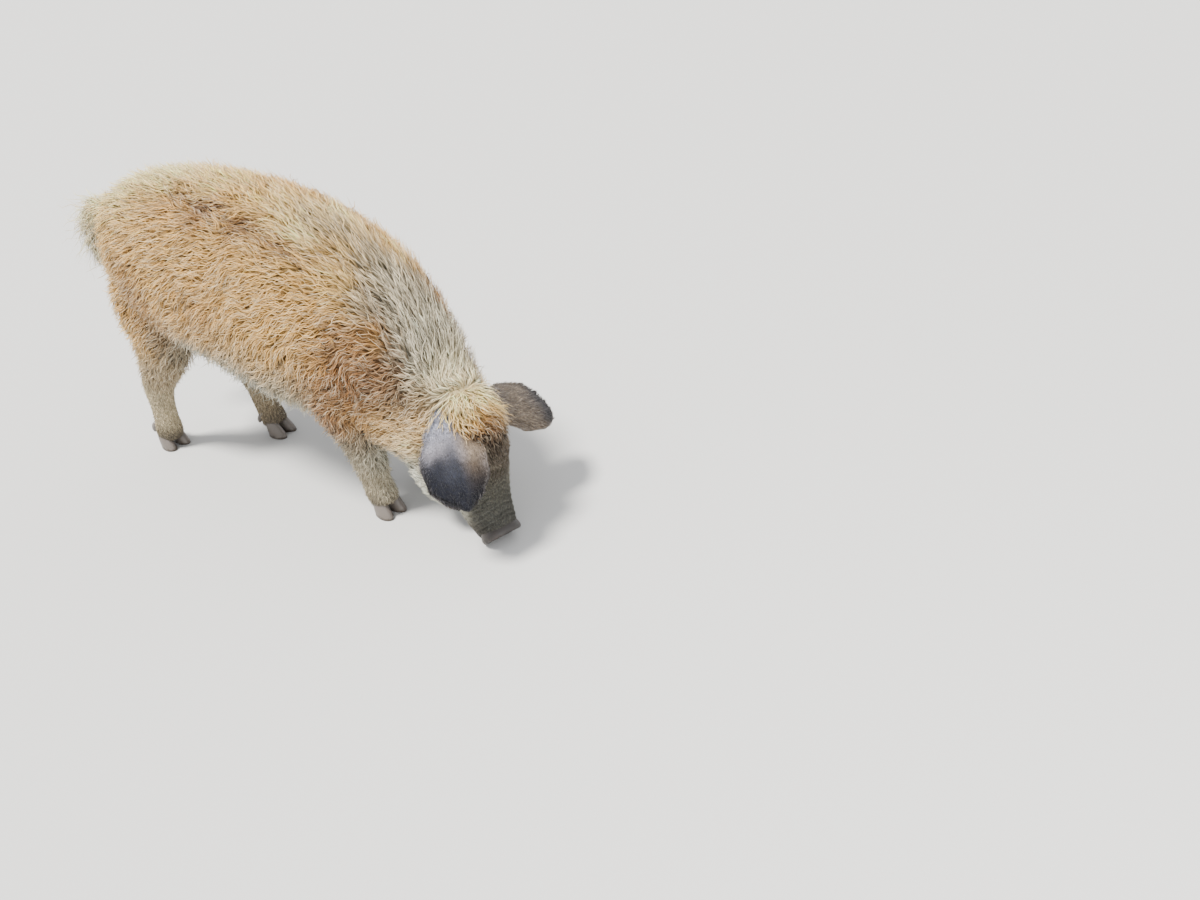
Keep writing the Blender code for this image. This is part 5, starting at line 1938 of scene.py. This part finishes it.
@dataclass
class Ear:
    """A lop ear: a leaf rolled to a funnel at its root, bent along its length."""

    name: str
    side: int
    root: Vector
    along: Vector
    back: Vector
    bend: tuple[float, float]
    length: float = 0.250
    width: float = 0.165
    thick: float = 0.0065
    hairs: int = 7500
    outline: tuple[tuple[float, float], ...] = (
        (0.0, 0.66), (0.22, 0.84), (0.50, 1.0), (0.72, 0.93), (0.87, 0.62), (0.96, 0.30), (1.0, 0.05))
    curl: tuple[tuple[float, float], ...] = ((0.0, 120), (0.18, 74), (0.40, 42), (0.75, 30), (1.0, 24))

    @staticmethod
    def along_row(row: Sequence[tuple[float, float]], share: float) -> float:
        """Reads a value smoothly from a row.

        Args:
            row: Pairs of a place and a value.
            share: The place.

        Returns:
            The value there.
        """
        for (a, first), (b, second) in zip(row, row[1:]):
            if share <= b:
                part = max((share - a) / (b - a), 0.0)
                return first + (second - first) * part * part * (3 - 2 * part)
        return row[-1][1]

    def ways(self) -> tuple[Vector, Vector, Vector]:
        """Squares up the ear's own ways.

        Returns:
            The ways along its root, out of its back and across it.
        """
        along = self.along.normalized()
        back = (self.back - along * self.back.dot(along)).normalized()
        return along, back, back.cross(along)

    def spine(self, rows: int) -> list[tuple[Vector, Vector]]:
        """Bends the ear's middle line.

        Args:
            rows: How many steps it has.

        Returns:
            Each point, with the way that the back faces there.
        """
        along, back, _ = self.ways()
        middle = self.root.copy()
        made = []
        for i in range(rows + 1):
            turn = math.radians(self.bend[0] + (self.bend[1] - self.bend[0]) * i / rows)
            line = along * math.cos(turn) - back * math.sin(turn)
            out = along * math.sin(turn) + back * math.cos(turn)
            middle = middle + line * (self.length / rows) if i else middle - line * 0.012
            made.append((middle.copy(), out))
            if not i:
                middle = self.root.copy()
        return made

    def build(self, finish: Finish) -> Piece:
        """Builds the closed leaf.

        Args:
            finish: The ear's material.

        Returns:
            The leaf, painted.
        """
        rows, columns = 56, 36
        spine = self.spine(rows)
        _, _, across = self.ways()

        def place(u: float, v: float) -> Vector:
            """The point on the leaf.

            Args:
                u: The place over the back, and returning along the inside.
                v: The place from root to tip.

            Returns:
                The point.
            """
            middle, out = spine[round(v * rows)]
            at = -math.cos(math.tau * u)
            curl = math.radians(self.along_row(self.curl, v))
            radius = self.width / 2 * self.along_row(self.outline, v) / curl
            normal = across * math.sin(at * curl) + out * math.cos(at * curl)
            point = middle + normal * radius - out * radius
            ripple = 0.012 * math.sin(7 * v + 2.2 * self.side) * at**2 * v
            ripple += 0.0016 * math.sin(9 * at + 5 * v) * v
            thick = self.thick * (1.0 - 0.45 * v) * math.sqrt(max(1 - abs(at) ** 5, 0.02))
            return point + out * ripple - normal * (thick if u > 0.5 else 0.0)

        bm = draped(columns * 2, rows, place)
        bm.transform(HEAD)
        leaf = mesh_object(self.name, bm, finish)
        points, _ = corners_of(leaf.data)
        paint(leaf.data, self.colour(points), headed=self.side < 0)
        return leaf

    def shares(self, points: Array) -> tuple[Array, Array]:
        """Finds where points lie on the ear.

        Args:
            points: Points of the animal.

        Returns:
            How far along it each is, and across from -1 to 1.
        """
        head = into_head(points)
        spine = self.spine(40)
        middles = np.array([tuple(m) for m, _ in spine])
        away = np.linalg.norm(head[:, None] - middles[None], axis=2)
        nearest = away.argmin(axis=1)
        wide = (head - middles[nearest]) @ np.array(self.ways()[2])
        half = np.array([self.width / 2 * self.along_row(self.outline, k / 40) for k in nearest])
        return nearest / 40, np.clip(wide / np.maximum(half, 0.01), -1.2, 1.2)

    def colour(self, points: Array) -> Array:
        """Shades the ear: pale at the root, dark beyond, and on the right one brown on its inner side.

        Args:
            points: Points of the animal.

        Returns:
            The colour at each.
        """
        share, across = self.shares(points)
        right = self.side < 0
        drift = share + 0.04 * swell(points, 40.0, 1.0) - 0.20 * np.clip(across, 0, 1) * right
        dark = 1 / (1 + np.exp(-(drift - (0.43 if right else 0.70)) / 0.035))
        if right:
            dull = rising(share, 0.12, 0.25)[:, None] * 0.55
            root, tip = blended(linear(LILAC), linear((118, 110, 108)), dull), linear(SLATE)
        else:
            root, tip = linear((128, 116, 102)), linear((70, 68, 70))
        made = blended(root, tip, dark[:, None])
        centre = hump(share, 0.60, 0.14) * hump(across, 0.0, 0.40)
        made = blended(made, linear((92, 96, 110)), 0.22 * centre[:, None])
        if right:
            inner = hump(share, 0.40, 0.25) * rising(across, 0.12, 0.40)
            made = blended(made, linear((124, 106, 82)), 0.85 * inner[:, None])
        rim = rising(np.abs(across), 0.84, 0.12) * (0.50 - 0.38 * dark)
        return blended(made, linear((150, 130, 104)), rim[:, None])

    def hair(self, leaf: Piece, finish: Finish) -> Piece:
        """Lays short fine hair over the ear, longer on its edges and at its root.

        Args:
            leaf: The ear's leaf.
            finish: The hair's material.

        Returns:
            The hair.
        """
        draw = np.random.default_rng(20 + self.side)
        count = self.hairs
        corners, normals, area = triangles_of(leaf.data)
        a, b, c = corners.swapaxes(0, 1)
        _, wide = self.shares((a + b + c) / 3)
        area = area * (1 + 2.0 * (np.abs(wide) > 0.85))
        chosen = draw.choice(len(area), size=count, p=area / area.sum())
        mix = draw.dirichlet((1, 1, 1), count)
        spots = np.einsum("nk,nkd->nd", mix, corners[chosen])
        facing = unit(np.einsum("nk,nkd->nd", mix, normals[chosen]))
        share, wide = self.shares(spots)
        along, _, across = (np.array(HEAD.to_3x3() @ way) for way in self.ways())
        edge = rising(np.abs(wide), 0.7, 0.25)
        way = along[None] + across[None] * (wide * (0.3 + edge))[:, None] + draw.normal(0, 0.16, (count, 3))
        near_root = rising(share, 0.3, -0.3)
        length = 0.017 + 0.006 * edge + 0.014 * near_root
        tint = np.minimum(self.colour(spots) * np.exp(draw.normal(-0.05, 0.38, (count, 1))), 0.8)
        blend = (0.12 + 0.25 * edge + 0.25 * near_root)[:, None] * draw.random((count, 1)) ** 2 * 2.6
        pale = blended(tint, linear((176, 174, 178)), blend)
        tufts = Tufts(
            root=spots, normal=facing, way=way, length=length * draw.uniform(0.7, 1.25, count),
            width=0.0014 + 0.0008 * near_root, wave=np.full(count, 22.0),
            lift=0.0030 + 0.005 * near_root, stand=3 + 12 * edge + draw.uniform(0, 8, count),
            phase=draw.uniform(0, math.tau, count), base=tint, tip=pale,
            chart=np.stack([np.clip(share, 0, 1), np.clip(wide / 2.4 + 0.5, 0, 1)], axis=1))
        points, normals = tufts.comb(SurfaceTree.of(leaf.data), 3, 0.03, 0.2)
        return tufts.weave(self.name + "_hair", points, normals, finish)


@dataclass
class Foot:
    """The two toes and two dewclaws of one leg."""

    leg: Leg
    toe_length: float = 0.064
    toe_width: float = 0.036
    height: float = 0.050

    def toe(self, side: int) -> Shape:
        """Shapes half of a cloven hoof, flat on the floor.

        Args:
            side: 1 for the left and -1 for the right.

        Returns:
            The shape.
        """
        wide, long = self.toe_width / 2, self.toe_length / 2
        rows = (
            (0.0000, 0.012, 0.955, 0.955), (0.0004, 0.012, 0.985, 0.985), (0.0030, 0.012, 1.0, 0.995),
            (0.0070, 0.012, 1.0, 0.98), (0.0160, 0.009, 0.97, 0.93), (0.0280, 0.004, 0.92, 0.82),
            (0.0390, 0.000, 0.84, 0.72), (self.height, -0.004, 0.75, 0.62))

        def place(u: float, v: float) -> Vector:
            """The point on the toe.

            Args:
                u: The place round it.
                v: The place from the sole up.

            Returns:
                The point.
            """
            z, x, across, fore = along_rows(rows, v)
            ring = 1 + 0.012 * math.sin(z * 900) * (z > 0.006)
            c, s = math.cos(math.tau * u), math.sin(math.tau * u)
            flat = 1 - 0.10 * (1 if c * side < -0.2 else 0)
            y = math.copysign(abs(c) ** 0.87, c) * wide * across * ring * flat
            point = 1 - 0.18 * max(s, 0) ** 2
            return Vector((x + math.copysign(abs(s) ** 0.87, s) * long * fore * ring, y * point, z))

        return draped(48, 28, place)

    def dewclaw(self) -> Shape:
        """Shapes a small claw behind the pastern, clear of the floor.

        Returns:
            The shape.
        """
        ovals = table(
            Oval,
            (-0.020, 0, 0.076, 0.0075, 0.0085),
            (-0.034, 0, 0.064, 0.0085, 0.0090),
            (-0.044, 0, 0.050, 0.0070, 0.0075),
            (-0.048, 0, 0.040, 0.0035, 0.0040),
        )
        return tube(ovals, 20, 5)

    def build(self, finish: Finish) -> Piece:
        """Builds the foot's horn as one piece.

        Args:
            finish: The horn's material.

        Returns:
            The piece.
        """
        oval = LEG_OVALS[self.leg][-1]
        turn = Matrix.Rotation(math.radians(TOE_TURN[self.leg]), 4, "Z")
        stand = Matrix.Translation((oval.x, oval.y, 0)) @ turn
        shapes = []
        for side in (-1, 1):
            splay = Matrix.Rotation(math.radians(5 * side), 4, "Z")
            shift = Matrix.Translation((0, (self.toe_width / 2 + 0.0012) * side, 0))
            behind = Matrix.Translation((0, 0.019 * side, 0))
            shapes += [(self.toe(side), stand @ shift @ splay), (self.dewclaw(), stand @ behind)]
        return mesh_object("horn_" + self.leg.value, gathered(shapes), finish)


@dataclass(frozen=True)
class HornFinish:
    """Grey-brown horn, mottled, with dried mud low down."""

    name: str = "horn"
    horn: tuple[int, int, int] = (92, 85, 79)
    mud: tuple[int, int, int] = (50, 40, 31)
    muddy: float = 0.030

    def make(self) -> Finish:
        """Makes the material.

        Returns:
            The material.
        """
        made, shader = fresh_material(self.name, {"Roughness": 0.45})
        tree = made.node_tree
        where = node(tree, "TexCoord")
        split = node(tree, "SeparateXYZ")
        height = node(tree, "MapRange", {"From Min": 0.0, "From Max": self.muddy})
        noise = node(tree, "TexNoise", {"Scale": 90.0, "Detail": 5.0})
        total = node(tree, "Math", operation="ADD")
        ramp = graded(tree, (0.55, linear(self.mud)), (0.875, linear(self.horn)))
        bump = node(tree, "Bump", {"Strength": 0.5, "Distance": 0.001})
        link(tree, (where, "Object", split, "Vector"), (where, "Object", noise, "Vector"),
             (split, "Z", height, "Value"), (height, "Result", total, 0), (noise, "Fac", total, 1),
             (total, "Value", ramp, "Fac"), (ramp, "Color", shader, "Base Color"),
             (noise, "Fac", bump, "Height"), (bump, "Normal", shader, "Normal"))
        return made


@dataclass(frozen=True)
class EyeFinish:
    """A wet dark eye."""

    name: str = "eye"
    roughness: float = 0.25
    gloss: float = 0.10
    wet: float = 0.28

    def make(self) -> Finish:
        """Makes the material.

        Returns:
            The material.
        """
        made, shader = fresh_material(self.name, {
            "Roughness": self.roughness, "Specular IOR Level": self.gloss, "Coat Weight": self.wet,
            "Coat Roughness": 0.05})
        tint = node(made.node_tree, "VertexColor", layer_name="Coat")
        link(made.node_tree, (tint, "Color", shader, "Base Color"))
        return made


@dataclass
class Studio:
    """A pale floor, soft lights and the camera."""

    eye_at: Vector = field(default_factory=lambda: Vector((1.7858, -1.4851, 1.400)))
    lens: float = 27.03
    pitch: float = 33.0
    roll: float = 3.8
    sky: float = 1.48
    sun: float = 11.0
    fill: float = 40.0

    def floor(self) -> Piece:
        """Lays a wide pale floor.

        Returns:
            The floor.
        """
        bm = bmesh.new()
        bmesh.ops.create_grid(bm, x_segments=1, y_segments=1, size=30.0)
        bm.transform(Matrix.Translation(ORIGIN - Vector((0, 0, 0.0006))))
        made, _ = fresh_material("floor", {"Roughness": 0.9, "Base Color": (0.46, 0.46, 0.455, 1)})
        floor = mesh_object("floor", bm, made)
        return floor

    @staticmethod
    def put(name: str, data: bpy.types.ID, turn: Matrix) -> Piece:
        """Puts a lamp or the camera in its place.

        Args:
            name: Its name.
            data: What it is.
            turn: Its place.

        Returns:
            The object.
        """
        made = bpy.data.objects.new(name, data)
        made.matrix_world = turn
        bpy.context.scene.collection.objects.link(made)
        return made

    def lights(self) -> None:
        """A slightly softened warm sun from above the camera, a fill, and an even sky."""
        world = bpy.data.worlds.new("studio")
        world.use_nodes = True
        sky = world.node_tree.nodes["Background"]
        sky.inputs["Color"].default_value = (0.97, 0.98, 1.0, 1)
        sky.inputs["Strength"].default_value = self.sky
        bpy.context.scene.world = world
        sun = bpy.data.lights.new("soft_sun", "SUN")
        sun.energy = self.sun
        sun.angle = math.radians(14)
        sun.color = (1.0, 0.97, 0.91)
        aim = Vector((0.30, 0.42, -1.0)).to_track_quat("-Z", "Y")
        self.put("soft_sun", sun, aim.to_matrix().to_4x4())
        fill = bpy.data.lights.new("fill", "AREA")
        fill.size = 2.5
        fill.energy = self.fill
        spot = Vector((2.6, -1.2, 1.2))
        aim = (Vector((0, 0, 0.35)) - spot).to_track_quat("-Z", "Y")
        self.put("fill", fill, Matrix.Translation(spot) @ aim.to_matrix().to_4x4())

    def camera(self) -> None:
        """The camera where the photograph was taken from."""
        pitch, roll = math.radians(self.pitch), math.radians(self.roll)
        level, across = Vector((-0.5, 0.8660254, 0.0)), Vector((0.8660254, 0.5, 0.0))
        ahead = level * math.cos(pitch) - Vector((0, 0, 1)) * math.sin(pitch)
        right = across * math.cos(roll) + ahead.cross(across) * math.sin(roll)
        up = -ahead.cross(right)
        lens = bpy.data.cameras.new("camera")
        lens.sensor_width = 36.0
        lens.lens = self.lens
        turn = Matrix((right, up, -ahead)).transposed().to_4x4()
        bpy.context.scene.camera = self.put("camera", lens, Matrix.Translation(self.eye_at) @ turn)


def count_triangles(obj: Piece) -> int:
    """How many triangles an object has."""
    return sum(len(face.vertices) - 2 for face in obj.data.polygons)


def main() -> None:
    """Builds the animal and the studio, piece by piece."""
    hair = HairFinish("coat_hair").make()
    hide = SkinFinish("coat_skin").make()
    bare = SkinFinish("snout_skin", 0.42, grain=420.0, mottle=0.6, bump=0.6, fur=0.0, gloss=0.5).make()
    ear_skin = SkinFinish("ear_skin", 0.85, grain=300.0, mottle=0.5, bump=0.6, gloss=0.12).make()
    horn = HornFinish().make()
    wet = EyeFinish().make()

    skin = Flesh().build()
    skin.data.materials.append(hide)
    nodes = ["torso", "neck", "head", "tail", *("leg_" + leg.value for leg in Leg)]
    points, _ = corners_of(skin.data)
    coat = Coat()
    # The skin takes the coat's colours, with painted shade where the coat lies deep over it.
    paint(skin.data, coat.plan.colour(points)[0] * coat.painted_shade_under_coat(points)[:, None], headed=True)
    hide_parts(*nodes)
    surface = SurfaceTree.of(skin.data)
    pieces = [(skin, "coat")]

    eyes = EyePair()
    for side, turn in eyes.frames(surface).items():
        word = "left" if side > 0 else "right"
        ball = eyes.eyeball("eyeball_" + word, turn, wet)
        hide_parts("eye_" + word)
        pieces.append((ball, "eye"))
        pieces.append((eyes.lid("eyelid_" + word, turn, hide), "coat"))
        pieces.append((eyes.lashes("lashes_" + word, turn, hair), "coat"))
        coat.bare.append((turn.translation, eyes.bare))

    pieces.append((SnoutDisc().build(bare), "coat"))
    ears = (
        Ear("ear_leaf_right", -1, Vector((-0.058, -0.066, 0.062)), Vector((0.90, -0.24, 0.26)),
            Vector((-0.28, -0.38, 0.85)), (-10, 26)),
        Ear("ear_leaf_left", 1, Vector((-0.042, 0.078, 0.040)), Vector((0.34, 0.80, -0.42)),
            Vector((-0.31, 0.64, 0.70)), (-8, 12)),
    )
    for ear in ears:
        leaf = ear.build(ear_skin)
        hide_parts("ear_left" if ear.side > 0 else "ear_right")
        pieces.append((leaf, "ear"))
        pieces.append((ear.hair(leaf, hair), "ear"))

    for leg in Leg:
        foot = Foot(leg).build(horn)
        claws = [f"{word}_{leg.value}" for word in ("hoof", "dewclaw")]
        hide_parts(*(f"{claw}_{way}" for claw in claws for way in ("inner", "outer")))
        pieces.append((foot, "horn"))

    for piece in coat.build(skin, surface, hair):
        pieces.append((piece, "tail" if "tail" in piece.name else "coat"))

    total = 0
    for piece, slot in pieces:
        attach(piece, "root")
        faces = count_triangles(piece)
        total += faces
        LOG.info("%-26s %7d triangles", piece.name, faces)
    LOG.info("total %d", total)

    studio = Studio()
    studio.floor()
    studio.lights()
    studio.camera()


if __name__ == "__main__":
    main()
